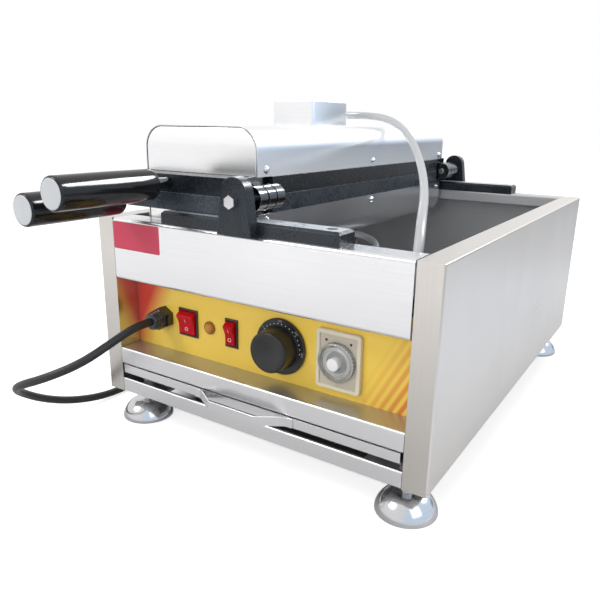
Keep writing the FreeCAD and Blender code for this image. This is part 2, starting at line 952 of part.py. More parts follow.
def upper_conduit_route():
    end = panel_top + gland_length + tube_end_gap
    return [
        Vector(ferrule_x, conduit_start, ferrule_level),
        Vector(-67.5, 322.0, ferrule_level + 0.2),
        Vector(-52.0, 343.0, ferrule_level + 0.3),
        Vector(-23.0, 342.0, ferrule_level - 2.9),
        Vector(6.0, 324.0, parting + 66.5),
        Vector(38.0, 290.0, parting + 49.0),
        Vector(64.0, 255.0, parting + 29.0),
        Vector(91.0, 205.0, parting + 11.0),
        Vector(115.0, 150.0, parting - 3.5),
        Vector(138.0, 90.0, parting - 10.5),
        Vector(149.5, 60.0, parting - 22.0),
        Vector(gland_top_x, gland_top_y, end + 29.0),
        Vector(gland_top_x, gland_top_y, end),
    ]


def lower_conduit_route():
    start_level = 2.0 * parting - ferrule_level
    end = control_box_rear + gland_length + tube_end_gap
    return [
        Vector(ferrule_x, conduit_start, start_level),
        Vector(-67.5, 324.0, start_level - 0.5),
        Vector(-56.0, 347.0, start_level - 2.0),
        Vector(-33.0, 354.0, start_level - 5.0),
        Vector(-11.0, 342.0, start_level - 9.0),
        Vector(2.0, 313.0, start_level - 14.0),
        Vector(8.0, 277.0, start_level - 20.0),
        Vector(18.0, 237.0, start_level - 27.0),
        Vector(33.5, 200.0, start_level - 34.0),
        Vector(gland_back_x, 164.0, gland_back_level),
        Vector(gland_back_x, end, gland_back_level),
    ]


def conduit_glands():
    top_start = Vector(gland_top_x, gland_top_y, panel_top)
    back_start = Vector(gland_back_x, control_box_rear, gland_back_level)
    glands = []
    for start, along in ((top_start, UP), (back_start, BACK)):
        nut = hex_bar(gland_flats, start, along * gland_nut)
        barrel = rod(gland_radius, start + along * gland_nut, along * (gland_length - gland_nut))
        bore = rod(ferrule_bore, start, along * gland_length)
        glands.append(nut.fuse(barrel).cut(bore))
    return group(glands)


# Controls

def switch_case(x, bezel):
    half = bezel / 2.0
    tall = bezel_height / 2.0
    flange = block(x - half, x + half, bezel_front, recess_depth, controls - tall, controls + tall)
    front_edges = [edge for edge in flange.Edges if edge.BoundBox.YMax < bezel_front + tiny]
    flange = flange.makeFillet(bezel_edge, front_edges)
    inner = half - bezel_rim
    body_half = inner + switch_wall
    body_tall = switch_opening + switch_wall
    rear = recess_depth + switch_depth
    body_low = controls - body_tall
    body_high = controls + body_tall
    body = block(x - body_half, x + body_half, recess_depth, rear, body_low, body_high)
    swing = rocker_radius * math.sin(math.radians(rocker_rest_tilt))
    floor = rocker_axis_y + swing + rocker_back + rocker_gap
    pocket_low = controls - switch_opening
    pocket_high = controls + switch_opening
    pocket = block(x - inner, x + inner, bezel_front, floor, pocket_low, pocket_high)
    return flange.fuse(body).removeSplitter().cut(pocket)


def rocker(x, bezel):
    half = bezel / 2.0 - bezel_rim - rocker_gap
    rise = math.sqrt(rocker_radius ** 2 - rocker_front ** 2)
    tall = math.sqrt(rocker_radius ** 2 - rocker_back ** 2)
    left = x - half

    def spot(out, up):
        return Vector(left, rocker_axis_y - out, controls + up)
    out = rocker_front / 2.0
    side = math.sqrt(rocker_radius ** 2 - out ** 2)
    edges = [
        Part.LineSegment(spot(-rocker_back, -tall), spot(-rocker_back, tall)).toShape(),
        Part.Arc(spot(-rocker_back, tall), spot(out, side), spot(rocker_front, rise)).toShape(),
        Part.LineSegment(spot(rocker_front, rise), spot(rocker_middle, 0.0)).toShape(),
        Part.LineSegment(spot(rocker_middle, 0.0), spot(rocker_front, -rise)).toShape(),
        Part.Arc(spot(rocker_front, -rise), spot(out, -side), spot(-rocker_back, -tall)).toShape(),
    ]
    solid = Part.Face(Part.Wire(edges)).extrude(ALONG_X * (2.0 * half))
    ridges = []
    for edge in solid.Edges:
        box = edge.BoundBox
        if box.XLength > half and box.YMax < rocker_axis_y - rocker_front + tiny:
            ridges.append(edge)
    solid = solid.makeFillet(rocker_round, ridges)
    solid.rotate(Vector(x, rocker_axis_y, controls), ALONG_X, rocker_rest_tilt)
    return solid


def heat_lamp():
    profile = [
        (0.0, 0.0),
        (0.0, lamp_stem_radius),
        (lamp_stem, lamp_stem_radius),
        (lamp_stem, lamp_radius),
        (lamp_stem + lamp_dome, lamp_radius),
        (lamp_stem + lamp_dome, 0.0),
    ]
    rear = Vector(lamp_x, recess_depth + lamp_stem, controls)
    return turned(profile, [0.0, 0.0, 0.0, 0.0, lamp_round, 0.0], rear, -BACK)


def thermostat_body():
    half = thermostat_width / 2.0
    tall = thermostat_height / 2.0
    rear = panel_back + thermostat_depth
    left = thermostat_x - half
    body = block(left, thermostat_x + half, panel_back, rear, controls - tall, controls + tall)
    bore_start = Vector(thermostat_x, panel_back, controls)
    return body.cut(rod(shaft_radius + shaft_clearance, bore_start, BACK * (shaft_in + shaft_end_gap)))


def thermostat_knob():
    back = recess_depth - knob_panel_gap
    bore = shaft_radius + shaft_clearance
    blind = knob_height - 2.0 * knob_edge
    profile = [
        (0.0, bore),
        (0.0, knob_skirt_radius),
        (knob_skirt, knob_skirt_radius),
        (knob_skirt, knob_radius),
        (knob_height, knob_front_radius),
        (knob_height - knob_dish, knob_front_radius / 2.0),
        (knob_height - knob_dish, 0.0),
        (blind, 0.0),
        (blind, bore),
    ]
    edge = knob_skirt_edge
    radii = [0.0, edge, edge, edge, knob_edge, knob_dish_round, 0.0, 0.0, 0.0]
    return turned(profile, radii, Vector(thermostat_x, back, controls), -BACK)


def thermostat_shaft():
    front = recess_depth - knob_panel_gap - knob_height + 2.0 * knob_edge + shaft_end_gap
    rear = panel_back + shaft_in
    return rod(shaft_radius, Vector(thermostat_x, front, controls), BACK * (rear - front))


def timer_case():
    half = timer_width / 2.0
    tall = timer_height / 2.0
    low = controls - tall
    frame = block(timer_x - half, timer_x + half, timer_front, recess_depth, low, controls + tall)
    corners = [edge for edge in frame.Edges if edge.BoundBox.YLength > tiny]
    frame = frame.makeFillet(timer_corner, corners)
    rim = [edge for edge in frame.Edges if edge.BoundBox.YMax < timer_front + tiny]
    frame = frame.makeFillet(timer_edge, rim)
    inner = half - timer_rim
    inner_tall = tall - timer_rim
    recess_floor = timer_face_front + timer_face_thickness
    inner_low = controls - inner_tall
    inner_high = controls + inner_tall
    recess = block(timer_x - inner, timer_x + inner, timer_front, recess_floor, inner_low, inner_high)
    body_half = timer_body_width / 2.0
    body_low = controls - timer_body_height / 2.0
    body_high = controls + timer_body_height / 2.0
    rear = recess_depth + timer_body_depth
    body = block(timer_x - body_half, timer_x + body_half, recess_depth, rear, body_low, body_high)
    bore_start = Vector(timer_x, recess_floor, controls)
    bore_length = recess_depth + timer_shaft_in - recess_floor + shaft_end_gap
    bore = rod(timer_shaft_radius + shaft_clearance, bore_start, BACK * bore_length)
    return frame.fuse(body).removeSplitter().cut([recess, bore])


def timer_face():
    half = timer_width / 2.0 - timer_rim
    tall = timer_height / 2.0 - timer_rim
    rear = timer_face_front + timer_face_thickness
    low = controls - tall
    face = block(timer_x - half, timer_x + half, timer_face_front, rear, low, controls + tall)
    hole_start = Vector(timer_x, timer_face_front, controls)
    hole = rod(timer_shaft_radius + cutout_gap, hole_start, BACK * timer_face_thickness)
    return face.cut(hole)


def timer_dial():
    bore = timer_shaft_radius + shaft_clearance
    inner = timer_dial_radius - timer_dial_wall
    profile = [
        (0.0, bore),
        (0.0, timer_dial_radius),
        (timer_dial_height, timer_dial_radius),
        (timer_dial_height, inner),
        (timer_dial_wall, inner),
        (timer_dial_wall, bore),
    ]
    start = Vector(timer_x, timer_face_front - timer_dial_gap, controls)
    edge = timer_dial_edge
    return turned(profile, [0.0, edge, edge, edge, edge, 0.0], start, -BACK)


def timer_hub():
    base = timer_face_front - timer_dial_gap - timer_dial_wall
    start = Vector(timer_x, base, controls)
    hub = round_ended(timer_hub_radius, timer_hub_edge, start, -BACK * timer_hub_height)
    rear = recess_depth + timer_shaft_in
    return hub.fuse(rod(timer_shaft_radius, start, BACK * (rear - base)))


# Power cord

def cord_gland():
    hex_rear = Vector(inlet_x, recess_depth, controls)
    nut = hex_bar(inlet_flats, hex_rear, -BACK * inlet_nut)
    collar_length = recess_depth - inlet_nut - inlet_mouth
    profile = [
        (0.0, 0.0),
        (0.0, inlet_collar_radius),
        (collar_length, inlet_mouth_radius),
        (collar_length, 0.0),
    ]
    radii = [0.0, 0.0, inlet_mouth_round, 0.0]
    collar = turned(profile, radii, hex_rear - BACK * inlet_nut, -BACK)
    thread = rod(inlet_thread_radius, hex_rear, BACK * (sheet + inlet_thread))
    return nut.fuse([collar, thread])


def gland_locknut():
    start = Vector(inlet_x, panel_back, controls)
    nut = hex_bar(inlet_flats, start, BACK * inlet_locknut)
    return nut.cut(rod(inlet_thread_radius + shaft_clearance, start, BACK * inlet_locknut))


def power_cord_route():
    lead_x = coil_x + coil_first_radius
    lead_y = coil_y - coil_lead
    return [
        Vector(inlet_x, inlet_mouth - tube_end_gap, controls),
        Vector(inlet_x, -16.0, controls),
        Vector(inlet_x - 1.0, -44.0, controls - 8.0),
        Vector(inlet_x - 10.0, -77.0, controls - 23.0),
        Vector(inlet_x - 36.0, -102.0, controls - 37.0),
        Vector(inlet_x - 76.0, -110.0, controls - 53.0),
        Vector(inlet_x - 107.0, -90.0, controls - 75.0),
        Vector(inlet_x - 117.0, -54.0, 28.0),
        Vector(lead_x - 9.0, -16.0, 12.0),
        Vector(lead_x - 1.0, 26.0, cord_floor),
        Vector(lead_x - 3.0, 74.0, cord_floor),
        Vector(lead_x + 3.0, 126.0, cord_floor),
        Vector(lead_x, 176.0, cord_floor),
        Vector(lead_x, lead_y, cord_floor),
    ]


def coil_half_turns():
    """Radii where the coil crosses its middle line, with the layer of each crossing."""
    inward = [(coil_first_radius - coil_step * index, cord_floor) for index in range(coil_layer_crossings)]
    outward = []
    for index in range(coil_layer_crossings + 1):
        outward.append((coil_inner_radius + coil_step * index, coil_upper_layer))
    return inward + outward


def coil_crossing_points():
    points = []
    for index, (radius, level) in enumerate(coil_half_turns()):
        side = 1.0 if index % 2 == 0 else -1.0
        points.append(Vector(coil_x + side * radius, coil_y, level))
    return points


def cord_coil():
    points = coil_crossing_points()
    start = points[0] - BACK * coil_lead
    edges = [Part.LineSegment(start, points[0]).toShape()]
    for index, (first, second) in enumerate(zip(points, points[1:])):
        middle = (first + second) / 2.0
        bulge = BACK if index % 2 == 0 else -BACK
        crown = middle + bulge * ((second - first).Length / 2.0)
        edges.append(Part.Arc(first, crown, second).toShape())
    edges.append(Part.LineSegment(points[-1], points[-1] + BACK * coil_lead).toShape())
    print("coil least gap", round(coil_gap(edges), 2))
    return tube_along(edges, cord_radius, start, BACK)


def coil_gap(edges):
    places = []
    for edge in edges:
        places.extend(edge.discretize(Number=40)[:-1])
    least = 1e9
    for index, first in enumerate(places):
        for second in places[index + 40:]:
            least = min(least, (second - first).Length)
    return least - 2.0 * cord_radius


def cord_tie():
    crossings = coil_half_turns()
    inside = coil_x - coil_inner_radius + cord_radius + tie_gap
    outside = coil_x - coil_first_radius - cord_radius - tie_gap
    bottom = tie_thickness
    top = crossings[-1][1] + cord_radius + tie_gap

    def outline(grow):
        front = coil_y - tie_width / 2.0
        return [
            Vector(outside - grow, front, bottom - grow),
            Vector(inside + grow, front, bottom - grow),
            Vector(inside + grow, front, top + grow),
            Vector(outside - grow, front, top + grow),
        ]
    outer_corners = [tie_corner + tie_thickness] * 4
    outer = rounded_prism(outline(tie_thickness), outer_corners, BACK * tie_width)
    return outer.cut(rounded_prism(outline(0.0), [tie_corner] * 4, BACK * tie_width))


def plug_start():
    return coil_crossing_points()[-1] + BACK * coil_lead


def plug():
    profile = [
        (0.0, 0.0),
        (0.0, cord_radius + plug_relief_wall),
        (plug_relief, plug_relief_radius),
        (plug_relief + plug_shoulder, plug_radius),
        (plug_relief + plug_length, plug_radius),
        (plug_relief + plug_length, 0.0),
    ]
    radii = [0.0, 0.0, plug_shoulder_round, plug_shoulder_round, plug_edge, 0.0]
    return turned(profile, radii, plug_start(), BACK)


def plug_pins():
    face = plug_start() + BACK * (plug_relief + plug_length)
    pins = []
    for side in (-0.5, 0.5):
        start = face + ALONG_X * (side * plug_pin_spacing)
        pins.append(round_ended(plug_pin_radius, plug_edge, start, BACK * plug_pin_length))
    return group(pins)


def all_pieces():
    panel = side_panel_right()
    bar = rest_bar_front()
    bracket = hinge_bracket_front()
    pin = hinge_pin_front()
    cover = mould_cover()
    box = junction_box()
    screws = cover_screws()
    box_end = box_ferrule()
    element = heater(heater_radius)
    return {
        "side_panel_right": panel,
        "side_panel_left": across(panel),
        "front_plate": front_plate(),
        "front_strip": front_strip(),
        "bottom_rail": bottom_rail(),
        "rear_panel": rear_panel(),
        "control_panel": control_panel(),
        "control_box": control_box(),
        "tray_runners": tray_runners(),
        "crumb_tray": crumb_tray(),
        "tray_pull": tray_pull(),
        "feet": feet(),
        "foot_plates": foot_plates(),
        "foot_nuts": foot_nuts(),
        "rest_bars": group([bar, to_rear(bar)]),
        "bar_screws": bar_screws(),
        "hinge_brackets": group([bracket, to_rear(bracket)]),
        "hinge_pins": group([pin, to_rear(pin)]),
        "lower_plate": below(mould_plate(lower_grip_x)),
        "lower_hinge_leaves": below(hinge_leaves((0, 2))),
        "lower_cover": below(cover),
        "lower_cover_screws": below(screws),
        "lower_junction_box": below(box),
        "lower_ferrule": below(box_end),
        "lower_heater": below(element),
        "lower_handle_rod": below(handle_rod(lower_grip_x, lower_grip_length)),
        "lower_grip": below(grip(lower_grip_x, lower_grip_length)),
        "lower_grip_cap": below(grip_cap(lower_grip_x, lower_grip_length)),
        "upper_plate": mould_plate(upper_grip_x),
        "upper_hinge_leaves": hinge_leaves((1,)),
        "upper_cover": cover,
        "upper_cover_screws": screws,
        "upper_junction_box": box,
        "upper_ferrule": box_end,
        "upper_heater": element,
        "upper_handle_rod": handle_rod(upper_grip_x, upper_grip_length),
        "upper_grip": grip(upper_grip_x, upper_grip_length),
        "upper_grip_cap": grip_cap(upper_grip_x, upper_grip_length),
        "upper_conduit": cord_tube(upper_conduit_route(), conduit_radius),
        "lower_conduit": cord_tube(lower_conduit_route(), conduit_radius),
        "conduit_glands": conduit_glands(),
        "wide_switch_case": switch_case(wide_switch_x, wide_bezel),
        "wide_rocker": rocker(wide_switch_x, wide_bezel),
        "narrow_switch_case": switch_case(narrow_switch_x, narrow_bezel),
        "narrow_rocker": rocker(narrow_switch_x, narrow_bezel),
        "heat_lamp": heat_lamp(),
        "thermostat_body": thermostat_body(),
        "thermostat_knob": thermostat_knob(),
        "thermostat_shaft": thermostat_shaft(),
        "timer_case": timer_case(),
        "timer_face": timer_face(),
        "timer_dial": timer_dial(),
        "timer_hub": timer_hub(),
        "cord_gland": cord_gland(),
        "gland_locknut": gland_locknut(),
        "power_cord": cord_tube(power_cord_route(), cord_radius),
        "cord_coil": cord_coil(),
        "cord_tie": cord_tie(),
        "plug": plug(),
        "plug_pins": plug_pins(),
    }


# The origin sits under the middle of the object, on the table
centring = Vector(0.0, -(front_reach + rear_reach) / 2.0, 0.0)
for node, shape in all_pieces().items():
    moved = shape.copy()
    moved.translate(centring)
    moved.exportStep("parts/" + node + ".step")
    box = moved.BoundBox
    print(node, "solids", len(moved.Solids), "valid", moved.isValid(), "volume", round(moved.Volume),
          [round(value, 1) for value in (box.XMin, box.XMax, box.YMin, box.YMax, box.ZMin, box.ZMax)])
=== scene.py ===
"""Finishes and fine pieces of a turn-over waffle cone baker: steel tub, hinged moulds and control panel."""

import json
import math

import bmesh
import bpy
import numpy as np
from mathutils import Matrix, Vector


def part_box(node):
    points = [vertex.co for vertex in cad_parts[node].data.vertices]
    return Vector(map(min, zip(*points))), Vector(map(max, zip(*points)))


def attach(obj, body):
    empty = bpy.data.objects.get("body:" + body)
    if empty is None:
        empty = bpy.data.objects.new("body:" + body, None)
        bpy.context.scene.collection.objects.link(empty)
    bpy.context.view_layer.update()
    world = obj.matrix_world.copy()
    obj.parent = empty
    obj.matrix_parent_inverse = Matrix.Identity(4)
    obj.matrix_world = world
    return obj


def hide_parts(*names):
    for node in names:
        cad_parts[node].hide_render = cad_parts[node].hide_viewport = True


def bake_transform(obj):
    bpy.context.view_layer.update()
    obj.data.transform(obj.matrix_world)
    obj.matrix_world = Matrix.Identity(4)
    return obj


bl_info = {
    "name": "Turn-over cone baker",
    "version": (1, 0, 0),
    "blender": (4, 5, 0),
    "location": "View3D > Sidebar > Baker",
    "description": "Finishes and fine pieces of a turn-over cone baker, set on its packed frame",
    "category": "Object",
}

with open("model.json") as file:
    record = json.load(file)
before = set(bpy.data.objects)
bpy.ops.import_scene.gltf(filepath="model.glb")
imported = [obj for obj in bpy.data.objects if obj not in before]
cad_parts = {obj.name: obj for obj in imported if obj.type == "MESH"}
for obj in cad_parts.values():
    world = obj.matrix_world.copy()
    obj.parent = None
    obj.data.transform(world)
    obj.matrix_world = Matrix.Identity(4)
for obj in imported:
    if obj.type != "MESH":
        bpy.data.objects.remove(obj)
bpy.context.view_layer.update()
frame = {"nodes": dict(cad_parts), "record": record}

mm = 0.001
full_turn = 2.0 * math.pi
right_angle = math.pi / 2.0
casing_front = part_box("side_panel_right")[0].y
panel_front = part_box("control_panel")[0].y
controls_level = sum(corner.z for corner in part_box("thermostat_knob")) / 2.0
casing_low = Vector(map(min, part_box("side_panel_left")[0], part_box("front_plate")[0]))
casing_high = Vector(map(max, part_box("side_panel_right")[1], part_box("rear_panel")[1]))
across = Vector((1.0, 0.0, 0.0))
forward = Vector((0.0, -1.0, 0.0))
backward = Vector((0.0, 1.0, 0.0))
up = Vector((0.0, 0.0, 1.0))
origin = Vector((0.0, 0.0, 0.0))


# Sizes and colours that a user may change

def length_setting(name, description, default, low):
    return bpy.props.FloatProperty(
        name=name, description=description, default=default, min=low, unit="LENGTH")


def colour_setting(name, description, default):
    return bpy.props.FloatVectorProperty(
        name=name, description=description, default=default, subtype="COLOR", size=3, min=0.0, max=1.0)


class BakerSizes(bpy.types.PropertyGroup):
    """Sizes of the pieces that are made here."""

    cord_diameter: length_setting("Cord diameter", "Outside of the power cord's rubber jacket", 0.0088, 0.004)
    cord_length: length_setting("Cord length", "Power cord from its gland to the plug", 1.82, 0.5)
    conduit_diameter: length_setting("Conduit diameter", "Outside of the sleeved conduits", 0.009, 0.004)
    edge_round: length_setting("Edge rounding", "Rounding of cast and moulded edges", 0.0007, 0.0)
    seam: length_setting("Seam", "Open line between a cover's skin and its end plates", 0.0009, 0.0)
    dial_dots: bpy.props.IntProperty(
        name="Dial dots", description="White dots on the thermostat's skirt", default=14, min=2)


class BakerColours(bpy.types.PropertyGroup):
    """Colours of the finishes."""

    steel: colour_setting("Steel", "Brushed stainless sheet", (0.78, 0.78, 0.79))
    # Side steel is the same stainless, made darker and warmer as a painted reflection of the floor near the
    # base.
    post: colour_setting(
        "Side steel", "Warmer stainless of the side panels and their posts", (0.63, 0.60, 0.565))
    iron: colour_setting("Iron", "Coated cast iron of the moulds and hinge", (0.016, 0.020, 0.025))
    panel: colour_setting("Panel film", "Yellow film on the control panel", (0.84, 0.58, 0.085))
    panel_fade: colour_setting("Panel fade", "Red that the film fades to at its ends", (0.60, 0.045, 0.025))
    patch: colour_setting("Patch", "Blank red patch on the front plate", (0.60, 0.045, 0.095))
    rocker: colour_setting("Rockers", "Red rockers of the switches", (0.46, 0.001, 0.007))
    lamp: colour_setting("Lamp", "Amber lens", (0.58, 0.24, 0.03))
    timer: colour_setting("Timer", "Cream case of the timer", (0.70, 0.64, 0.50))
    conduit: colour_setting("Conduit", "Pale sleeve of the conduits", (0.50, 0.51, 0.52))
    black: colour_setting("Black parts", "Grips, knob, gland and cord", (0.012, 0.012, 0.013))


def sizes():
    return bpy.context.scene.baker_sizes


def colours():
    return bpy.context.scene.baker_colours


# Surfaces as arrays of points and of faces with the same number of corners

tube_sides = 20
tube_reference = (0.5, 0.6, 0.62)
flute_points = 6
least_corner = 0.05 * mm


def ring_stack(rings):
    """Closed surface through rings: point (i, j) meets (i, j + 1) and (i + 1, j), and rings run round."""
    rows, count = rings.shape[:2]
    index = np.arange(rows * count).reshape(rows, count)
    beside = np.roll(index, -1, axis=1)
    quads = np.stack([index[:-1], beside[:-1], beside[1:], index[1:]], axis=-1).reshape(-1, 4)
    ends = np.stack([index[0][::-1], index[-1]])
    return rings.reshape(-1, 3), [quads, ends]


def combine(*shapes):
    """One shape of several: the points are stacked, and each shape's faces count on from those before it."""
    starts = np.cumsum([0] + [len(points) for points, groups in shapes])
    groups = [group + start for start, shape in zip(starts, shapes) for group in shape[1]]
    return np.concatenate([points for points, _ in shapes]), groups


def repeated(shape, places):
    """The same shape at each place: its points plus each place in turn."""
    return combine(*[(shape[0] + np.asarray(place), shape[1]) for place in places])


def circle_about(along, count):
    """Even angles u round a direction, and the unit vectors cos u side + sin u other side, square to it."""
    along = np.asarray(along, float)
    side = np.cross(along, up if abs(along[2]) < 0.9 else across)
    side /= np.linalg.norm(side)
    angle = np.linspace(0.0, full_turn, count, endpoint=False)
    return angle, np.cos(angle)[:, None] * side + np.sin(angle)[:, None] * np.cross(along, side)


def turned(profile, place, along, count=64, flutes=0, depth=0.0):
    """Profile of radius r and height h carried round an axis: place + h along + r (1 + d cos(n u)) circle(u).
    The profile is in millimetres, n is the number of flutes and d their share of the radius in each row."""
    radius, height = np.asarray(profile, float).T * mm
    angle, circle = circle_about(along, count)
    wave = 1.0 + np.reshape(depth, (-1, 1)) * np.cos(flutes * angle)
    axis = np.asarray(place, float) + height[:, None] * np.asarray(along, float)
    return ring_stack(axis[:, None, :] + (radius[:, None] * wave)[:, :, None] * circle)


def quarter_round(middle, half, steps, start=0.0):
    """Quarter of an ellipse in a profile: middle + half (cos a, sin a) over a right angle from the start."""
    angle = np.linspace(start, start + right_angle, steps)
    return np.asarray(middle) + np.asarray(half) * np.column_stack([np.cos(angle), np.sin(angle)])


def rounded_outline(half_x, half_y, corner, steps=7):
    """Rectangle with round corners: a quarter circle about each corner's own centre, taken in turn."""
    angle = (np.arange(4)[:, None] * right_angle + np.linspace(0.0, right_angle, steps)).ravel()
    signs = np.repeat(np.array([[1, 1], [-1, 1], [-1, -1], [1, -1]]), steps, axis=0)
    centre = signs * np.array([half_x - corner, half_y - corner])
    return centre + corner * np.stack([np.cos(angle), np.sin(angle)], axis=1)


def raised_block(half_x, half_y, corner, profile, place, axes):
    """Rounded rectangle drawn in by each profile row's first value, at the height of its second value."""
    rings = []
    for inset, height in profile:
        outline = rounded_outline(half_x - inset, half_y - inset, max(corner - inset, least_corner))
        rings.append(np.column_stack([outline, np.full(len(outline), height)]))
    return ring_stack(np.asarray(place) + np.array(rings) @ np.asarray(axes, float))


def lengths_along(path):
    """Length from a path's start to each of its points."""
    return np.concatenate([[0.0], np.cumsum(np.linalg.norm(np.diff(path, axis=0), axis=1))])


def tube(path, radius, span):
    """Circle carried along a span of a path, square to it and turned by one reference direction."""
    tangent = np.gradient(path, axis=0)
    tangent /= np.linalg.norm(tangent, axis=1)[:, None]
    side = np.cross(tangent, tube_reference)
    side /= np.linalg.norm(side, axis=1)[:, None]
    other = np.cross(tangent, side)
    angle = np.linspace(0.0, full_turn, tube_sides, endpoint=False)[None, :, None]
    circle = np.cos(angle) * side[:, None] + np.sin(angle) * other[:, None]
    return ring_stack((path[:, None] + radius * circle)[span])


def tube_marks(path, span):
    """Surface coordinates of a tube's quads: the share of the way round, and the length along it."""
    length = lengths_along(path)[span]
    around = np.arange(tube_sides + 1) / tube_sides
    low, high = np.meshgrid(length[:-1], around[:-1], indexing="ij")
    low_next, high_next = np.meshgrid(length[1:], around[1:], indexing="ij")
    corners = [(high, low), (high_next, low), (high_next, low_next), (high, low_next)]
    return np.stack([np.stack(corner, axis=-1) for corner in corners], axis=2).reshape(-1, 2)


# Pieces of the scene

def new_object(name, data):
    item = bpy.data.objects.new(name, data)
    bpy.context.scene.collection.objects.link(item)
    return item


def new_mesh(name, shape):
    points, groups = shape
    corners = np.concatenate([group.ravel() for group in groups])
    counts = np.concatenate([np.full(len(group), group.shape[1]) for group in groups])
    starts = np.concatenate([[0], np.cumsum(counts)[:-1]])
    mesh = bpy.data.meshes.new(name)
    mesh.vertices.add(len(points))
    mesh.vertices.foreach_set("co", np.asarray(points, np.float32).ravel())
    mesh.loops.add(len(corners))
    mesh.loops.foreach_set("vertex_index", corners.astype(np.int32))
    mesh.polygons.add(len(counts))
    mesh.polygons.foreach_set("loop_start", starts.astype(np.int32))
    mesh.update(calc_edges=True)
    mesh.validate()
    return mesh


def turn_outwards(mesh):
    work = bmesh.new()
    work.from_mesh(mesh)
    bmesh.ops.recalc_face_normals(work, faces=work.faces)
    work.to_mesh(mesh)
    work.free()


def place_piece(name, mesh, material, sharp=35.0):
    mesh.materials.clear()
    mesh.materials.append(material)
    mesh.shade_smooth()
    mesh.set_sharp_from_angle(angle=math.radians(sharp))
    piece = new_object(name, mesh)
    return piece


def add_piece(name, shape, body, material, stands_for=(), sharp=35.0):
    mesh = new_mesh(name, shape)
    turn_outwards(mesh)
    piece = place_piece(name, mesh, material, sharp)
    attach(piece, body)
    if stands_for:
        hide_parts(*stands_for)
    return piece


def body_of_node(node):
    bodies = frame["record"]["behaviour"]["bodies"]
    return next(body for body, members in bodies.items() if node in members)


def softened_copy(node, material, width, sharp=30.0):
    """A merged copy of a node with small rounded edges that stands for it."""
    mesh = frame["nodes"][node].data.copy()
    if "custom_normal" in mesh.attributes:
        mesh.attributes.remove(mesh.attributes["custom_normal"])
    work = bmesh.new()
    work.from_mesh(mesh)
    bmesh.ops.remove_doubles(work, verts=work.verts, dist=0.01 * mm)
    bmesh.ops.dissolve_limit(work, angle_limit=math.radians(1.0), verts=work.verts, edges=work.edges)
    work.to_mesh(mesh)
    work.free()
    piece = place_piece(node + "_finished", mesh, material, sharp)
    bevel = piece.modifiers.new("Edges", "BEVEL")
    bevel.width = width
    bevel.segments = 2
    bevel.limit_method = "ANGLE"
    bevel.angle_limit = math.radians(sharp)
    bevel.harden_normals = True
    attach(piece, body_of_node(node))
    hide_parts(node)
    return piece


def finish_nodes(material, *names):
    for name in names:
        slots = frame["nodes"][name].data.materials
        slots.clear()
        slots.append(material)


def centre_of(node):
    low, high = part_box(node)
    return (low + high) / 2.0


def round_node(node):
    """Middle of a turned node's rear face, with its radius and its length to the front in millimetres."""
    low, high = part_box(node)
    middle = centre_of(node)
    return Vector((middle.x, high.y, middle.z)), (high.x - low.x) / 2.0 / mm, (high.y - low.y) / mm


# Shader nodes

def set_inputs(tree, node, values):
    """Links the inputs that are given a socket, and sets the others."""
    for name, value in values.items():
        if isinstance(value, bpy.types.NodeSocket):
            tree.links.new(value, node.inputs[name])
        else:
            node.inputs[name].default_value = value


def add_node(tree, kind, values=None, **settings):
    node = tree.nodes.new(kind)
    for name, value in settings.items():
        setattr(node, name, value)
    set_inputs(tree, node, values or {})
    return node


def mixed(tree, share, first, second):
    """Colour between two colours by a share."""
    return add_node(tree, "ShaderNodeMix", {0: share, 6: first, 7: second}, data_type="RGBA").outputs[2]


def worked(tree, operation, first, second=0.5):
    return add_node(tree, "ShaderNodeMath", {0: first, 1: second}, operation=operation).outputs[0]


def product(tree, first, *others):
    for other in others:
        first = worked(tree, "MULTIPLY", first, other)
    return first


def ranged(tree, value, low, high, to_low=0.0, to_high=1.0):
    values = {0: value, 1: low, 2: high, 3: to_low, 4: to_high}
    return add_node(tree, "ShaderNodeMapRange", values).outputs[0]


def coordinates(tree, given="Object"):
    """The three parts of a place, or of a face's normal or a direction."""
    place = add_node(tree, "ShaderNodeTexCoord").outputs[given]
    return add_node(tree, "ShaderNodeSeparateXYZ", {0: place}).outputs


def relief_normal(tree, height, strength, distance=0.1 * mm, **values):
    given = {"Height": height, "Strength": strength, "Distance": distance, **values}
    return add_node(tree, "ShaderNodeBump", given).outputs[0]


# Shader effects shared by several finishes

grain_inputs = [
    ("Place", "NodeSocketVector"), ("Grain", "NodeSocketVector"), ("Dark", "NodeSocketColor"),
    ("Light", "NodeSocketColor"), ("Rough Low", "NodeSocketFloat"), ("Rough High", "NodeSocketFloat"),
]
grain_outputs = [
    ("Color", "NodeSocketColor"), ("Roughness", "NodeSocketFloat"), ("Height", "NodeSocketFloat"),
]


def new_group(name, inputs, outputs):
    """A shader group with these sockets, the sockets it is given and the node for its results."""
    tree = bpy.data.node_groups.new(name, "ShaderNodeTree")
    for label, kind in inputs:
        tree.interface.new_socket(label, in_out="INPUT", socket_type=kind)
    for label, kind in outputs:
        tree.interface.new_socket(label, in_out="OUTPUT", socket_type=kind)
    return tree, tree.nodes.new("NodeGroupInput").outputs, tree.nodes.new("NodeGroupOutput")


def noise(tree, vector, scale, detail, roughness=0.5):
    values = {"Vector": vector, "Scale": scale, "Detail": detail, "Roughness": roughness}
    return add_node(tree, "ShaderNodeTexNoise", values).outputs[0]


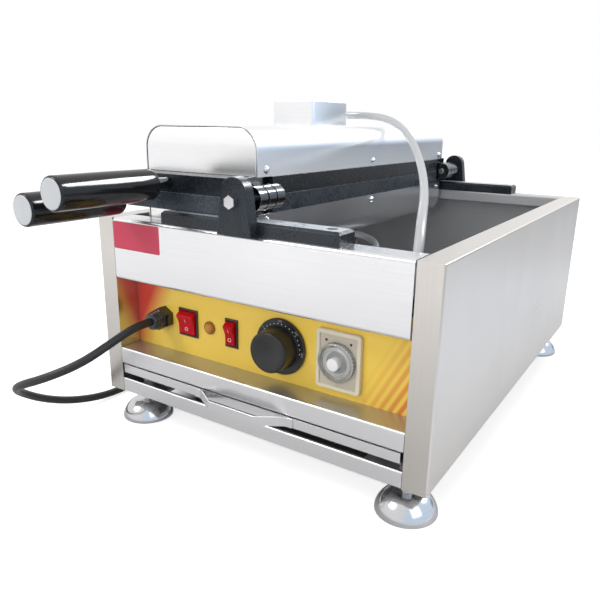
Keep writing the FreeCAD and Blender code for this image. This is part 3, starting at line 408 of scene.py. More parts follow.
def grain_group(name, fine, patches, patch_range, fine_share, rough_ends):
    """Fine noise on the stretched place and broad noise on the plain one, which set colour and gloss.
    Each noise is given by its scale, detail and roughness."""
    tree, given, result = new_group(name, grain_inputs, grain_outputs)
    height = ranged(tree, noise(tree, given["Grain"], *fine), 0.3, 0.7)
    patch = ranged(tree, noise(tree, given["Place"], *patches), *patch_range)
    share = worked(tree, "ADD", product(tree, height, fine_share), product(tree, patch, 1.0 - fine_share))
    set_inputs(tree, result, {
        "Color": mixed(tree, share, given["Dark"], given["Light"]),
        "Roughness": ranged(tree, share, 0.0, 1.0, *[given[end] for end in rough_ends]),
        "Height": height,
    })
    return tree


def brushed_grain():
    """Long fine scratches from stretched noise, with soft clouds of handling over them."""
    return grain_group("brushed_grain", (1.0, 5.0, 0.62), (7.0, 2.0, 0.5), (0.3, 0.7), 0.55,
                       ("Rough High", "Rough Low"))


def pitted_grain():
    """Fine even grain from noise, with a few larger patches of colour and gloss."""
    return grain_group("pitted_grain", (1.0, 3.0, 0.55), (22.0, 3.0, 0.6), (0.35, 0.68), 0.5,
                       ("Rough Low", "Rough High"))


def soft_edges():
    """Normal that rounds sharp edges, and a mask that is 1 where it turns far from the face's own normal."""
    tree, given, result = new_group(
        "soft_edges", [("Radius", "NodeSocketFloat")],
        [("Normal", "NodeSocketVector"), ("Mask", "NodeSocketFloat")])
    rounded = add_node(tree, "ShaderNodeBevel", {"Radius": given["Radius"]}, samples=6).outputs[0]
    plain = add_node(tree, "ShaderNodeNewGeometry").outputs["Normal"]
    turn = add_node(tree, "ShaderNodeVectorMath", {0: rounded, 1: plain}, operation="DOT_PRODUCT")
    mask = ranged(tree, turn.outputs["Value"], 0.995, 0.86)
    set_inputs(tree, result, {"Normal": rounded, "Mask": mask})
    return tree


def add_shared(tree, maker, values):
    """Outputs of the maker's shader group, which is built on first use."""
    group = bpy.data.node_groups.get(maker.__name__) or maker()
    return add_node(tree, "ShaderNodeGroup", values, node_tree=group).outputs


# Finishes

def shade(colour, factor):
    """A colour made lighter or darker, with full alpha."""
    return tuple(min(1.0, channel * factor) for channel in colour[:3]) + (1.0,)


def new_material(name):
    material = bpy.data.materials.new(name)
    material.use_nodes = True
    return material, material.node_tree, material.node_tree.nodes["Principled BSDF"]


def grained(name, maker, grain, dark, light, rough, bump, edge=0.5 * mm, wear=None, **shader_values):
    """A finish whose colour, gloss and height come from a grain, with rounded edges and, if asked, edges
    painted lighter as a painted highlight and a little wear.
    """
    found = bpy.data.materials.get(name)
    if found:
        return found
    material, tree, shader = new_material(name)
    place = add_node(tree, "ShaderNodeTexCoord").outputs["Object"]
    stretched = add_node(tree, "ShaderNodeMapping", {"Vector": place, "Scale": grain}).outputs[0]
    effect = add_shared(tree, maker, {
        "Place": place, "Grain": stretched, "Dark": dark, "Light": light,
        "Rough Low": rough[0], "Rough High": rough[1],
    })
    edges = add_shared(tree, soft_edges, {"Radius": edge})
    # Edges take the given colour: a painted highlight where they catch the light, with a little wear.
    colour = mixed(tree, edges["Mask"], effect["Color"], wear) if wear else effect["Color"]
    set_inputs(tree, shader, {
        "Base Color": colour,
        "Roughness": effect["Roughness"],
        "Normal": relief_normal(tree, effect["Height"], bump, Normal=edges["Normal"]),
    })
    set_inputs(tree, shader, {socket.replace("_", " "): value for socket, value in shader_values.items()})
    return material


def pitted(name, scale, dark, light, rough, bump, **values):
    return grained(name, pitted_grain, (scale,) * 3, dark, light, rough, bump, **values)


def steel_sheet(name, stretch, tone=1.0, rough=(0.22, 0.28), metallic=1.0, colour=None):
    steel = colour or colours().steel
    return grained(name, brushed_grain, stretch, shade(steel, 0.96 * tone), shade(steel, 1.03 * tone), rough,
                   0.015, 0.25 * mm, Metallic=metallic)


def reskinned(material, share_of, colour, metallic, given="Object"):
    """The same finish with another skin where the share, worked out from a place or a normal, is one."""
    tree = material.node_tree
    shader = tree.nodes["Principled BSDF"]
    bright = shader.inputs["Base Color"].links[0].from_socket
    plain = shader.inputs["Metallic"].default_value
    share = share_of(tree, *coordinates(tree, given))
    set_inputs(tree, shader, {
        "Base Color": mixed(tree, share, bright, colour),
        "Metallic": ranged(tree, share, 0.0, 1.0, plain, metallic),
    })
    return material


def inner_wall(tree, x, y, z):
    """One on the tub's inner side, where a painted shade goes: inside the outer skin, behind the control
    panel and below the rim.
    """
    inside = ranged(tree, worked(tree, "ABSOLUTE", x), casing_high.x - 0.4 * mm, casing_high.x - 0.8 * mm)
    behind = ranged(tree, y, panel_front, panel_front + 1.0 * mm)
    below = ranged(tree, z, casing_high.z - 1.0 * mm, casing_high.z - 2.0 * mm)
    return product(tree, inside, behind, below)


def ledge_top(tree, x, y, z):
    """One on the flat top of the strip below the control panel, where the panel's reflection and shade are
    painted.
    """
    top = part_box("front_strip")[1].z
    high = ranged(tree, z, top - 0.5 * mm, top - 0.2 * mm)
    behind = ranged(tree, y, casing_front + 1.5 * mm, casing_front + 2.5 * mm)
    return product(tree, high, behind)


def facing_up(tree, x, y, z):
    """One where a face looks up, where a painted sheen goes."""
    return ranged(tree, z, 0.80, 0.97)


def polished_steel():
    steel = colours().steel
    return grained("polished_steel", brushed_grain, (40.0, 40.0, 900.0), shade(steel, 0.72),
                   shade(steel, 0.86), (0.12, 0.20), 0.02, Metallic=1.0)


def zinc():
    return pitted("zinc_plate", 900.0, (0.55, 0.55, 0.56, 1.0), (0.72, 0.72, 0.73, 1.0), (0.16, 0.30), 0.04,
                  Metallic=1.0)


def brass():
    return pitted("brass", 900.0, (0.62, 0.42, 0.16, 1.0), (0.78, 0.56, 0.24, 1.0), (0.14, 0.26), 0.03,
                  Metallic=1.0)


def heater_oxide():
    return pitted("heater_oxide", 600.0, (0.10, 0.09, 0.085, 1.0), (0.2, 0.18, 0.16, 1.0), (0.4, 0.6), 0.1,
                  Metallic=0.8)


def cast_iron(name, tone=1.0):
    iron = colours().iron
    # Edges are painted a much lighter iron as a painted highlight.
    return pitted(name, 420.0, shade(iron, 0.55 * tone), shade(iron, 1.7 * tone), (0.22, 0.34), 0.55,
                  wear=shade(iron, 9.0 * tone), Specular_IOR_Level=0.34)


def bright_iron():
    # Edges are painted pale grey as a painted highlight.
    return pitted("glossy_iron", 700.0, (0.10, 0.105, 0.11, 1.0), (0.18, 0.185, 0.19, 1.0), (0.12, 0.22),
                  0.08, wear=(0.4, 0.4, 0.42, 1.0), Metallic=1.0)


def black_moulding(name, rough, bump=0.05, coat=0.3, gloss=0.5):
    black = colours().black
    return pitted(name, 1400.0, shade(black, 0.75), shade(black, 1.6), rough, bump, Coat_Weight=coat,
                  Coat_Roughness=0.12, Specular_IOR_Level=gloss)


def gland_nylon():
    return black_moulding("gland_nylon", (0.16, 0.28), 0.06, 0.5)


def moulding(name, colour, rough, bump=0.04, coat=0.1):
    return pitted(name, 1100.0, shade(colour, 0.93), shade(colour, 1.05), rough, bump, Coat_Weight=coat,
                  Coat_Roughness=0.15)


def white_print():
    return moulding("white_print", (0.86, 0.86, 0.84), (0.4, 0.5))


def switch_bezel():
    return pitted("switch_bezel", 1300.0, (0.020, 0.020, 0.021, 1.0), (0.045, 0.044, 0.044, 1.0),
                  (0.32, 0.46), 0.12)


def rocker_gloss():
    rocker = colours().rocker
    return pitted("rocker_gloss", 1200.0, shade(rocker, 0.9), shade(rocker, 1.1), (0.2, 0.32), 0.02,
                  Specular_IOR_Level=0.14)


def clear_moulding():
    return pitted("clear_dial", 900.0, (0.93, 0.95, 0.94, 1.0), (1.0, 1.0, 1.0, 1.0), (0.04, 0.10), 0.03,
                  IOR=1.49, Transmission_Weight=0.92)


def amber_lens():
    lamp = colours().lamp
    return pitted("amber_lens", 520.0, shade(lamp, 0.55), shade(lamp, 1.15), (0.08, 0.2), 0.9,
                  Specular_IOR_Level=0.4, Coat_Weight=0.2, Coat_Roughness=0.05)


def panel_film():
    """Yellow film: a fine grain, a deeper tone low down, slanted bands on the right and a red left end."""
    yellow = colours().panel
    material, tree, shader = new_material("panel_film")
    place = add_node(tree, "ShaderNodeTexCoord").outputs["Object"]
    spots = noise(tree, place, 900.0, 2.0)
    x, _, z = coordinates(tree)
    slanted = worked(tree, "ADD", x, product(tree, z, -0.55))
    right_end = ranged(tree, slanted, 0.055, 0.125)
    left_end = ranged(tree, slanted, -0.205, -0.235)
    stripe = ranged(tree, worked(tree, "PINGPONG", slanted, 0.0045), 0.0012, 0.0030)
    fade = worked(tree, "MAXIMUM", product(tree, right_end, stripe), left_end)
    film = mixed(tree, ranged(tree, z, 0.08, 0.17), shade(yellow, 0.93), shade(yellow, 1.06))
    set_inputs(tree, shader, {
        "Base Color": mixed(tree, fade, film, shade(colours().panel_fade, 1.0)),
        "Roughness": ranged(tree, spots, 0.3, 0.7, 0.30, 0.42),
        "Normal": relief_normal(tree, spots, 0.06),
    })
    return material


def sleeve_weave():
    """Pale braid: two sets of bands that cross on the tube's own map, crowned where one passes over, and
    darker between the crowns as painted shade.
    """
    bands = 16.0
    pitch = 1.8 * mm
    colour = colours().conduit
    material, tree, shader = new_material("sleeve_weave")
    marks = add_node(tree, "ShaderNodeUVMap", uv_map="sleeve").outputs[0]
    around, along, _ = add_node(tree, "ShaderNodeSeparateXYZ", {0: marks}).outputs
    turn = product(tree, around, full_turn * bands)
    length = product(tree, along, full_turn / pitch)
    first = worked(tree, "SINE", worked(tree, "ADD", turn, length))
    second = worked(tree, "SINE", worked(tree, "SUBTRACT", turn, length))
    crown = worked(tree, "MAXIMUM", first, second)
    # The colour is darker in the hollows between crowns as painted shade.
    share = ranged(tree, crown, -0.4, 1.0)
    set_inputs(tree, shader, {
        "Base Color": mixed(tree, share, shade(colour, 0.78), shade(colour, 1.12)),
        "Roughness": ranged(tree, share, 0.0, 1.0, 0.5, 0.3),
        "Normal": relief_normal(tree, crown, 0.25, 0.12 * mm),
    })
    return material


# Stage

white_light = (1.0, 1.0, 1.0, 1.0)
cool_light = (0.80, 0.94, 1.12, 1.0)
floor_reach = 9.0
floor_lines = 7
floor_drop = 0.3 * mm
lamp_target = Vector((0.0, 0.05, 0.2))
camera_place = (0.3444, -0.6491, 0.3366)
camera_right = Vector((0.8344, 0.5509, 0.0151))
camera_top = Vector((-0.1663, 0.2257, 0.9599))
camera_ahead = Vector((-0.5254, 0.8034, -0.2800))


def light_rays(tree):
    """Kinds of ray, and a value that is one for those sent out by polished and clear surfaces."""
    rays = add_node(tree, "ShaderNodeLightPath").outputs
    return rays, worked(tree, "MAXIMUM", rays["Is Glossy Ray"], rays["Is Transmission Ray"])


def white_world(scene):
    """White to the camera, a softer sky as light, and to polish a cool right with a grey wall at the back."""
    world = bpy.data.worlds.new("studio")
    scene.world = world
    world.use_nodes = True
    tree = world.node_tree
    rays, polished = light_rays(tree)
    x, y, z = coordinates(tree, "Generated")
    wall = product(tree, ranged(tree, x, 0.20, 0.34), ranged(tree, x, 0.66, 0.50))
    behind = product(tree, ranged(tree, y, 0.55, 0.80), ranged(tree, z, 0.26, 0.06))
    mirrored = ranged(tree, product(tree, wall, behind), 0.0, 1.0, 1.0, 0.22)
    seen = worked(tree, "MAXIMUM", product(tree, polished, mirrored), rays["Is Camera Ray"])
    to_others = product(tree, rays["Is Diffuse Ray"], 0.50)
    cool = product(tree, polished, ranged(tree, x, 0.1, 0.45))
    set_inputs(tree, tree.nodes["Background"], {
        "Strength": worked(tree, "MAXIMUM", seen, to_others),
        "Color": mixed(tree, cool, white_light, cool_light),
    })


def floor_finish():
    """Pale floor that keeps a soft shadow: paint plus a glow for what the camera and polished surfaces see.
    The glow grows with the distance outside a rectangle under the casing; inside it the paint turns near
    black as a painted shadow."""
    material = bpy.data.materials.new("studio_floor")
    material.use_nodes = True
    tree = material.node_tree
    tree.nodes.clear()
    rays, polished = light_rays(tree)
    x, y, _ = coordinates(tree)
    middle = (casing_low.y + casing_high.y) / 2.0
    shifted = worked(tree, "ADD", x, 20.0 * mm)
    aside = worked(tree, "SUBTRACT", worked(tree, "ABSOLUTE", shifted), casing_high.x - 28.0 * mm)
    depth = worked(tree, "ABSOLUTE", worked(tree, "SUBTRACT", y, middle))
    ahead = worked(tree, "SUBTRACT", depth, casing_high.y - middle - 75.0 * mm)
    outside = worked(tree, "MAXIMUM", aside, ahead)
    outside_painted_shadow = worked(tree, "MAXIMUM", ranged(tree, aside, -0.04, 0.022), ranged(tree, ahead, 0.0, 0.022))
    # The camera's glow is taken away under the casing, which keeps the painted shadow dark.
    to_camera = product(tree, rays["Is Camera Ray"], product(tree, outside_painted_shadow, 0.72))
    before = ranged(tree, outside, 0.05, 0.9, 0.06, 0.46)
    beside = ranged(tree, outside, 0.0, 0.9, 0.56, 0.16)
    right = ranged(tree, x, 0.15, 0.35)
    spread = product(tree, right, worked(tree, "SUBTRACT", beside, before))
    to_polish = product(tree, polished, worked(tree, "ADD", before, spread))
    # Under the casing the paint turns near black: a painted shadow.
    tone = mixed(tree, outside_painted_shadow, (0.05, 0.05, 0.05, 1.0), (0.62, 0.62, 0.63, 1.0))
    paint = add_node(tree, "ShaderNodeBsdfDiffuse", {"Color": tone})
    glow = add_node(tree, "ShaderNodeEmission", {
        "Color": mixed(tree, product(tree, polished, right), white_light, cool_light),
        "Strength": worked(tree, "ADD", to_camera, to_polish),
    })
    both = add_node(tree, "ShaderNodeAddShader", {0: paint.outputs[0], 1: glow.outputs[0]})
    add_node(tree, "ShaderNodeOutputMaterial", {"Surface": both.outputs[0]})
    return material


def add_floor():
    """Flat square grid: x and y run over even steps, z stays just under the feet."""
    lines = np.linspace(-floor_reach, floor_reach, floor_lines)
    x, y = np.meshgrid(lines, lines, indexing="ij")
    points = np.stack([x, y, np.full_like(x, -floor_drop)], axis=-1).reshape(-1, 3)
    index = np.arange(floor_lines ** 2).reshape(floor_lines, floor_lines)
    corners = [index[:-1, :-1], index[1:, :-1], index[1:, 1:], index[:-1, 1:]]
    quads = np.stack(corners, axis=-1).reshape(-1, 4)
    floor = new_object("floor", new_mesh("floor", (points, [quads])))
    floor.data.materials.append(floor_finish())


def add_lamp(name, place, size, power, mirrored=True, painted=True):
    """Soft square lamp that looks at the baker, and whether it shows in polished and lights dull surfaces."""
    data = bpy.data.lights.new(name, "AREA")
    data.size = size
    data.energy = power
    lamp = new_object(name, data)
    lamp.location = place
    lamp.rotation_euler = (lamp_target - Vector(place)).to_track_quat("-Z", "Y").to_euler()
    lamp.visible_camera = False
    lamp.visible_glossy = mirrored
    lamp.visible_diffuse = painted


def add_camera(scene):
    data = bpy.data.cameras.new("view")
    data.lens = 36.2
    data.sensor_width = 36.0
    data.clip_start = 0.01
    camera = new_object("view", data)
    turn = Matrix((camera_right, camera_top, -camera_ahead)).transposed().to_4x4()
    camera.matrix_world = Matrix.Translation(camera_place) @ turn
    scene.camera = camera


class BAKER_OT_stage(bpy.types.Operator):
    """Pale floor, soft studio light and the camera."""

    bl_idname = "baker.stage"
    bl_label = "Stage"

    def execute(self, context):
        scene = context.scene
        scene.view_settings.view_transform = "Standard"
        white_world(scene)
        add_floor()
        add_lamp("key_light", (-1.5, -1.7, 2.1), 0.9, 24.0)
        add_lamp("fill_light", (2.0, -0.9, 1.7), 1.6, 10.0)
        add_lamp("rear_light", (-0.1, 1.6, 2.2), 1.6, 24.0, False)
        add_lamp("gleam_light", (1.15, 1.6, 2.0), 1.0, 115.0, True, False)
        add_lamp("front_light", (-0.2, -2.6, 0.8), 1.4, 22.0, False)
        add_camera(scene)
        return {"FINISHED"}


# Power cord

cord_route = [
    (-0.130, 0.0047, 0.1285), (-0.130, -0.016, 0.1285), (-0.131, -0.044, 0.1205), (-0.140, -0.077, 0.1055),
    (-0.166, -0.102, 0.0915), (-0.206, -0.110, 0.0755), (-0.237, -0.090, 0.0535), (-0.247, -0.054, 0.028),
    (-0.245, -0.016, 0.012), (-0.237, 0.026, 0.0055), (-0.239, 0.074, 0.0055), (-0.233, 0.126, 0.0055),
    (-0.236, 0.176, 0.0055), (-0.236, 0.220, 0.0055),
]
coil_centre = (-0.296, 0.230)
coil_radii = (0.0600, 0.0537, 0.0474, 0.0411, 0.0411, 0.0474, 0.0537, 0.0600, 0.0663)
coil_levels = (0.0055,) * 4 + (0.0165,) * 5
plug_start = (-0.2297, 0.240, 0.0165)
half_turn_steps = 8


def from_front(points):
    """Points given from the casing's front, in the part's frame."""
    return np.asarray(points, float) + (0.0, casing_front, 0.0)


def coil_points():
    """Half turns between points on the middle line, each with its own centre. One of them rises."""
    points = []
    spread = 1.0 / math.cos(math.pi / (2.0 * half_turn_steps))
    angle = math.pi * (np.arange(half_turn_steps) + 0.5) / half_turn_steps
    for turn in range(len(coil_radii) - 1):
        side = 1.0 if turn % 2 == 0 else -1.0
        centre = coil_centre[0] + side * (coil_radii[turn] - coil_radii[turn + 1]) / 2.0
        radius = spread * (coil_radii[turn] + coil_radii[turn + 1]) / 2.0
        rise = coil_levels[turn + 1] - coil_levels[turn]
        points.append(np.column_stack([
            centre + side * radius * np.cos(angle),
            coil_centre[1] + side * radius * np.sin(angle),
            coil_levels[turn] + rise * (1.0 - np.cos(angle)) / 2.0,
        ]))
    return np.concatenate(points)


def smooth_line(name, points, radius):
    """One open smooth spline with these control points."""
    curve = bpy.data.curves.new(name, "CURVE")
    curve.dimensions = "3D"
    curve.bevel_depth = radius
    curve.bevel_resolution = 6
    curve.use_fill_caps = radius > 0.0
    curve.resolution_u = 8
    spline = curve.splines.new("NURBS")
    spline.points.add(len(points) - 1)
    spline.points.foreach_set("co", np.column_stack([points, np.ones(len(points))]).ravel())
    spline.order_u = 3
    spline.use_endpoint_u = True
    return new_object(name, curve)


def line_points(line):
    """Points along a spline, in order, as a mesh of the bare line gives them."""
    mesh = bpy.data.meshes.new_from_object(line)
    points = np.empty(len(mesh.vertices) * 3)
    mesh.vertices.foreach_get("co", points)
    bpy.data.meshes.remove(mesh)
    return points.reshape(-1, 3)


def gland_shape():
    """Hexagon nut with a ribbed dome: flat-sided rings, then rings whose radius falls in small steps."""
    low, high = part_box("cord_gland")
    place = Vector((centre_of("cord_gland").x, panel_front, controls_level))
    flats = (high.x - low.x) / 2.0
    sixth = math.pi / 6.0
    angle, circle = circle_about(forward, 96)
    hexagon = flats / np.cos((angle + sixth) % (2.0 * sixth) - sixth) * math.cos(sixth)
    rings = []
    for height, share in ((0.0, 0.0), (0.4, 0.0), (11.0, 0.0), (12.0, 0.12), (12.0, 0.5)):
        radius = hexagon * (1.0 - share) + min(flats * 0.80, 11.0 * mm) * share
        rings.append(np.asarray(place) + height * mm * np.asarray(forward) + radius[:, None] * circle)
    start, end = 12.0, (panel_front - low.y) / mm
    height = np.linspace(start, end, 33)
    fall = (height - start) / (end - start)
    radius = 11.0 - 2.5 * fall ** 1.6 - 0.35 * (np.cos(fall * full_turn * 4.0) < -0.2)
    radius[-3:] -= (0.4, 1.1, 2.4)
    dome = turned(np.column_stack([radius, height]), place, forward, 48)
    return combine(ring_stack(np.array(rings)), dome)


def plug_shape():
    """Turned plug: a ribbed relief that widens to a shoulder, then a waisted body with a rounded front."""
    relief_length, rib_pitch = 24.0, 4.0
    length = np.linspace(0.0, relief_length, 61)
    relief = 6.2 + 1.3 * length / relief_length + 0.55 * np.sin(length * full_turn / rib_pitch)
    body = [(9.0, 24.0), (12.4, 26.0), (15.1, 28.5), (16.2, 31.0), (16.4, 34.0), (15.4, 40.0), (14.7, 46.0),
            (15.4, 52.0), (16.4, 56.5), (16.4, 59.0), (15.8, 59.8), (14.9, 60.0)]
    profile = np.concatenate([np.column_stack([relief, length]), body])
    return turned(profile, from_front(plug_start), backward)


class BAKER_OT_power_cord(bpy.types.Operator):
    """Rubber power cord with its gland, coil, strap and plug."""

    bl_idname = "baker.power_cord"
    bl_label = "Power cord"

    def execute(self, context):
        diameter = sizes().cord_diameter
        points = np.concatenate([cord_route, coil_points(), [plug_start]])
        cord = smooth_line("mains_lead", from_front(points), diameter / 2.0)
        cord.data.materials.append(black_moulding("rubber_jacket", (0.38, 0.52), 0.12, 0.05))
        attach(cord, "base")
        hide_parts("power_cord", "cord_coil")
        add_piece("cable_gland", gland_shape(), "base", gland_nylon(), ["cord_gland"], 28.0)
        moulded = add_piece("moulded_plug", plug_shape(), "base", black_moulding("plug_rubber", (0.3, 0.42)),
                            ["plug"])
        strap = softened_copy("cord_tie", black_moulding("strap", (0.42, 0.56), 0.2, 0.0),
                              0.2 * mm)
        pins = softened_copy("plug_pins", brass(), 0.5 * mm)
        finish_nodes(gland_nylon(), "gland_locknut")
        return {"FINISHED"}


# Conduits

upper_route = [
    (-0.068, 0.3023, 0.3487), (-0.0675, 0.322, 0.3489), (-0.052, 0.343, 0.349), (-0.023, 0.342, 0.3458),
    (0.006, 0.324, 0.336), (0.038, 0.290, 0.3185), (0.064, 0.255, 0.2985), (0.091, 0.205, 0.2805),
    (0.115, 0.150, 0.266), (0.138, 0.090, 0.259), (0.1495, 0.060, 0.2475), (0.154, 0.046, 0.2243),
    (0.154, 0.046, 0.1953),
]
lower_route = [
    (-0.068, 0.3023, 0.1903), (-0.068, 0.321, 0.1895), (-0.062, 0.340, 0.187), (-0.044, 0.346, 0.182),
    (-0.025, 0.335, 0.1765), (-0.012, 0.309, 0.170), (-0.003, 0.275, 0.163), (0.011, 0.237, 0.157),
    (0.031, 0.200, 0.1525), (0.047, 0.164, 0.149), (0.047, 0.1305, 0.149),
]
sleeve_points = 420
foot_points = 48
split_level = 0.2035


def sleeve_path(name, route):
    """Evenly spaced points along a conduit's smooth line."""
    line = smooth_line(name, from_front(route), 0.0)
    curve = line.data
    curve.resolution_u = 16
    points = line_points(line)
    bpy.data.objects.remove(line)
    bpy.data.curves.remove(curve)
    length = lengths_along(points)
    places = np.linspace(0.0, length[-1], sleeve_points)
    return np.column_stack([np.interp(places, length, values) for values in points.T])


def add_sleeve(name, path, span, weave, stands_for):
    """A sleeved tube over a span of a curved path that runs between two bodies."""
    mesh = new_mesh(name, tube(path, sizes().conduit_diameter / 2.0, span))
    marks = np.zeros((len(mesh.loops), 2), np.float32)
    placed = tube_marks(path, span)
    marks[:len(placed)] = placed
    mesh.uv_layers.new(name="sleeve").data.foreach_set("uv", marks.ravel())
    turn_outwards(mesh)
    piece = place_piece(name, mesh, weave)
    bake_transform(piece)
    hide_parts(stands_for)


def ferrule_shape(node):
    """Turned nut and sleeve end: a chamfered nut, a groove, then a ribbed collar."""
    middle = centre_of(node)
    profile = [(3.3, 0.0), (8.6, 0.0), (9.0, 0.5), (9.0, 4.5), (8.5, 5.0), (6.9, 5.1), (6.6, 5.8), (7.0, 6.4),
               (7.0, 8.2), (6.5, 8.6), (6.5, 9.2), (7.0, 9.6), (7.0, 13.2), (6.4, 14.0), (3.3, 14.0)]
    return turned(profile, (middle.x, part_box(node)[0].y, middle.z), backward, 48)


class BAKER_OT_conduits(bpy.types.Operator):
    """Sleeved conduits from the moulds' boxes down to the control box, with their ends."""

    bl_idname = "baker.conduits"
    bl_label = "Conduits"

    def execute(self, context):
        weave = sleeve_weave()
        upper = sleeve_path("upper_line", upper_route)
        split = int(np.argmax(upper[:, 2] < split_level))
        foot = np.linspace(upper[split], upper[-1], foot_points)
        upper = np.concatenate([upper[:split], foot])
        add_sleeve("upper_sleeve_foot", upper, slice(split, None), weave, "upper_conduit")
        add_sleeve("upper_sleeve", upper, slice(0, split + 1), weave, "upper_conduit")
        lower = sleeve_path("lower_line", lower_route)
        add_sleeve("lower_sleeve", lower, slice(None), weave, "lower_conduit")
        for side in ("upper", "lower"):
            add_piece(side + "_sleeve_end", ferrule_shape(side + "_ferrule"), side + "_mould", zinc(),
                      [side + "_ferrule"], 28.0)
        softened_copy("conduit_glands", gland_nylon(), 0.4 * mm)
        return {"FINISHED"}


# Casing

patch_half_width = 0.0340
patch_half_height = 0.0146
patch_x = -0.1382
patch_below_rim = 0.0178
foot_radius = 29.0


def patch_shape():
    """Thin rounded label: a rectangle with round corners, a little drawn in at its front edge."""
    place = Vector((patch_x, casing_front, casing_high.z - patch_below_rim))
    profile = [(0.0, 0.0), (0.0, 0.10 * mm), (0.08 * mm, 0.16 * mm)]
    return raised_block(patch_half_width, patch_half_height, 1.6 * mm, profile, place, (across, up, forward))


class BAKER_OT_casing(bpy.types.Operator):
    """Steel sheets of the tub, crumb tray, runners and the blank patch on the front."""

    bl_idname = "baker.casing"
    bl_label = "Casing"

    def execute(self, context):
        level = steel_sheet("sheet_brushed_across", (9.0, 600.0, 800.0))
        # The side panels' inner faces are painted dark grey as the tub's shade.
        upright = reskinned(steel_sheet("sheet_brushed_up", (700.0, 14.0, 10.0), colour=colours().post),
                            inner_wall, (0.34, 0.33, 0.32, 1.0), 0.6)
        # The ledge is painted a dull beige as a painted reflection of the yellow panel and the shade under
        # it.
        strip_with_painted_reflection = reskinned(steel_sheet("strip_brushed_across", (9.0, 600.0, 800.0), 1.0, (0.28, 0.36)),
                          ledge_top, (0.50, 0.485, 0.43, 1.0), 0.75)
        # The rear panel is a darker copy of the steel, as painted shade inside the tub.
        inside = steel_sheet("sheet_inside_painted_shade", (9.0, 500.0, 600.0), 0.58, (0.38, 0.48), 0.42)
        # A darker copy of the steel, as painted shade on the runners, foot plates and box under and inside
        # the casing.
        plain = steel_sheet("sheet_plain_painted_shade", (160.0, 160.0, 160.0), 0.8, (0.3, 0.45))
        finish_nodes(level, "front_plate", "bottom_rail", "crumb_tray")
        finish_nodes(strip_with_painted_reflection, "front_strip")
        finish_nodes(upright, "side_panel_right", "side_panel_left")
        finish_nodes(inside, "rear_panel")
        finish_nodes(plain, "control_box", "tray_runners", "foot_plates")
        finish_nodes(zinc(), "foot_nuts")
        finish_nodes(bright_iron(), "bar_screws")
        softened_copy("tray_pull", level, 0.35 * mm)
        red = moulding("patch_film", colours().patch, (0.34, 0.46), 0.03, 0.0)
        add_piece("front_patch", patch_shape(), "base", red)
        return {"FINISHED"}


def foot_shape(radius, top):
    """Turned foot: a rim, a bell r = neck + (R - neck) cos(a)^1.3 at h = rim + rise sin(a)^1.25, and a stud
    whose thread is a sine of the height."""
    neck, rim, bell = 13.5, 1.4, 20.0
    stud_radius, thread_depth, thread_pitch = 4.8, 0.18, 1.5
    angle = np.linspace(0.0, right_angle, 40)
    dome = np.column_stack([
        neck + (radius - neck) * np.cos(angle) ** 1.3,
        rim + (bell - rim) * np.sin(angle) ** 1.25,
    ])
    height = np.linspace(bell, top, 97)
    stud = np.column_stack([stud_radius + thread_depth * np.sin(height * full_turn / thread_pitch), height])
    base = [(radius - 0.6, 0.0), (radius - 0.15, 0.2), (radius, 0.7)]
    return turned(np.concatenate([base, dome, stud]), origin, up, 96)


class BAKER_OT_feet(bpy.types.Operator):
    """Polished bell feet on their studs."""

    bl_idname = "baker.feet"
    bl_label = "Feet"

    def execute(self, context):
        low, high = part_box("feet")
        inset = foot_radius * mm
        sides = (low.x + inset, high.x - inset)
        ends = (low.y + inset, high.y - inset)
        places = [(x, y, low.z) for x in sides for y in ends]
        foot = foot_shape(foot_radius, (high.z - low.z) / mm)
        add_piece("bell_feet", repeated(foot, places), "base", polished_steel(), ["feet"], 40.0)
        return {"FINISHED"}


# Moulds and hinge

cover_corner = 24.0 * mm
cover_wall = 1.2 * mm


def mould_box(node):
    """Corners of a mould's node, and the levels of its foot at the plate and of its crown."""
    low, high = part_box(node)
    base, top = (low.z, high.z) if "upper" in node else (high.z, low.z)
    return low, high, base, top


def arch(low_x, high_x, base, top, corner, steps=14):
    """Upright, quarter circle, flat top, quarter circle, upright: the bent sheet's line from foot to foot."""
    angle = np.linspace(0.0, right_angle, steps)
    rise = math.copysign(corner, top - base)
    left = np.column_stack([low_x + corner - corner * np.cos(angle), top - rise + rise * np.sin(angle)])
    right = np.column_stack([high_x - corner + corner * np.sin(angle), top - rise + rise * np.cos(angle)])
    return np.concatenate([[(low_x, base)], left, right, [(high_x, base)]])


def swept_rings(outline, levels):
    """The same outline at each depth, drawn in towards its middle by each level's inset."""
    middle = (outline.min(axis=0) + outline.max(axis=0)) / 2.0
    half = (outline.max(axis=0) - outline.min(axis=0)) / 2.0
    rings = []
    for depth, inset in levels:
        drawn = middle + (outline - middle) * (1.0 - inset / half)
        rings.append(np.column_stack([drawn[:, 0], np.full(len(drawn), depth), drawn[:, 1]]))
    return ring_stack(np.array(rings))


def cover_shapes(node, seam):
    """Bent skin, an arch with thickness swept along the cover, and two end plates that fill the arch."""
    low, high, base, top = mould_box(node)

    def inset_arch(inset):
        crown = top + math.copysign(inset, base - top)
        return arch(low.x + inset, high.x - inset, base, crown, cover_corner - inset)

    outline = np.concatenate([inset_arch(0.0), inset_arch(cover_wall)[::-1]])
    skin = swept_rings(outline, [(low.y, 0.0), (high.y, 0.0)])
    filled = inset_arch(cover_wall + seam)
    plate = [(0.2 * mm, 0.5 * mm), (0.5 * mm, 0.0), (1.6 * mm, 0.0)]
    front = swept_rings(filled, [(low.y + depth, inset) for depth, inset in plate])
    rear = swept_rings(filled, [(high.y - depth, inset) for depth, inset in plate[::-1]])
    return skin, combine(front, rear)


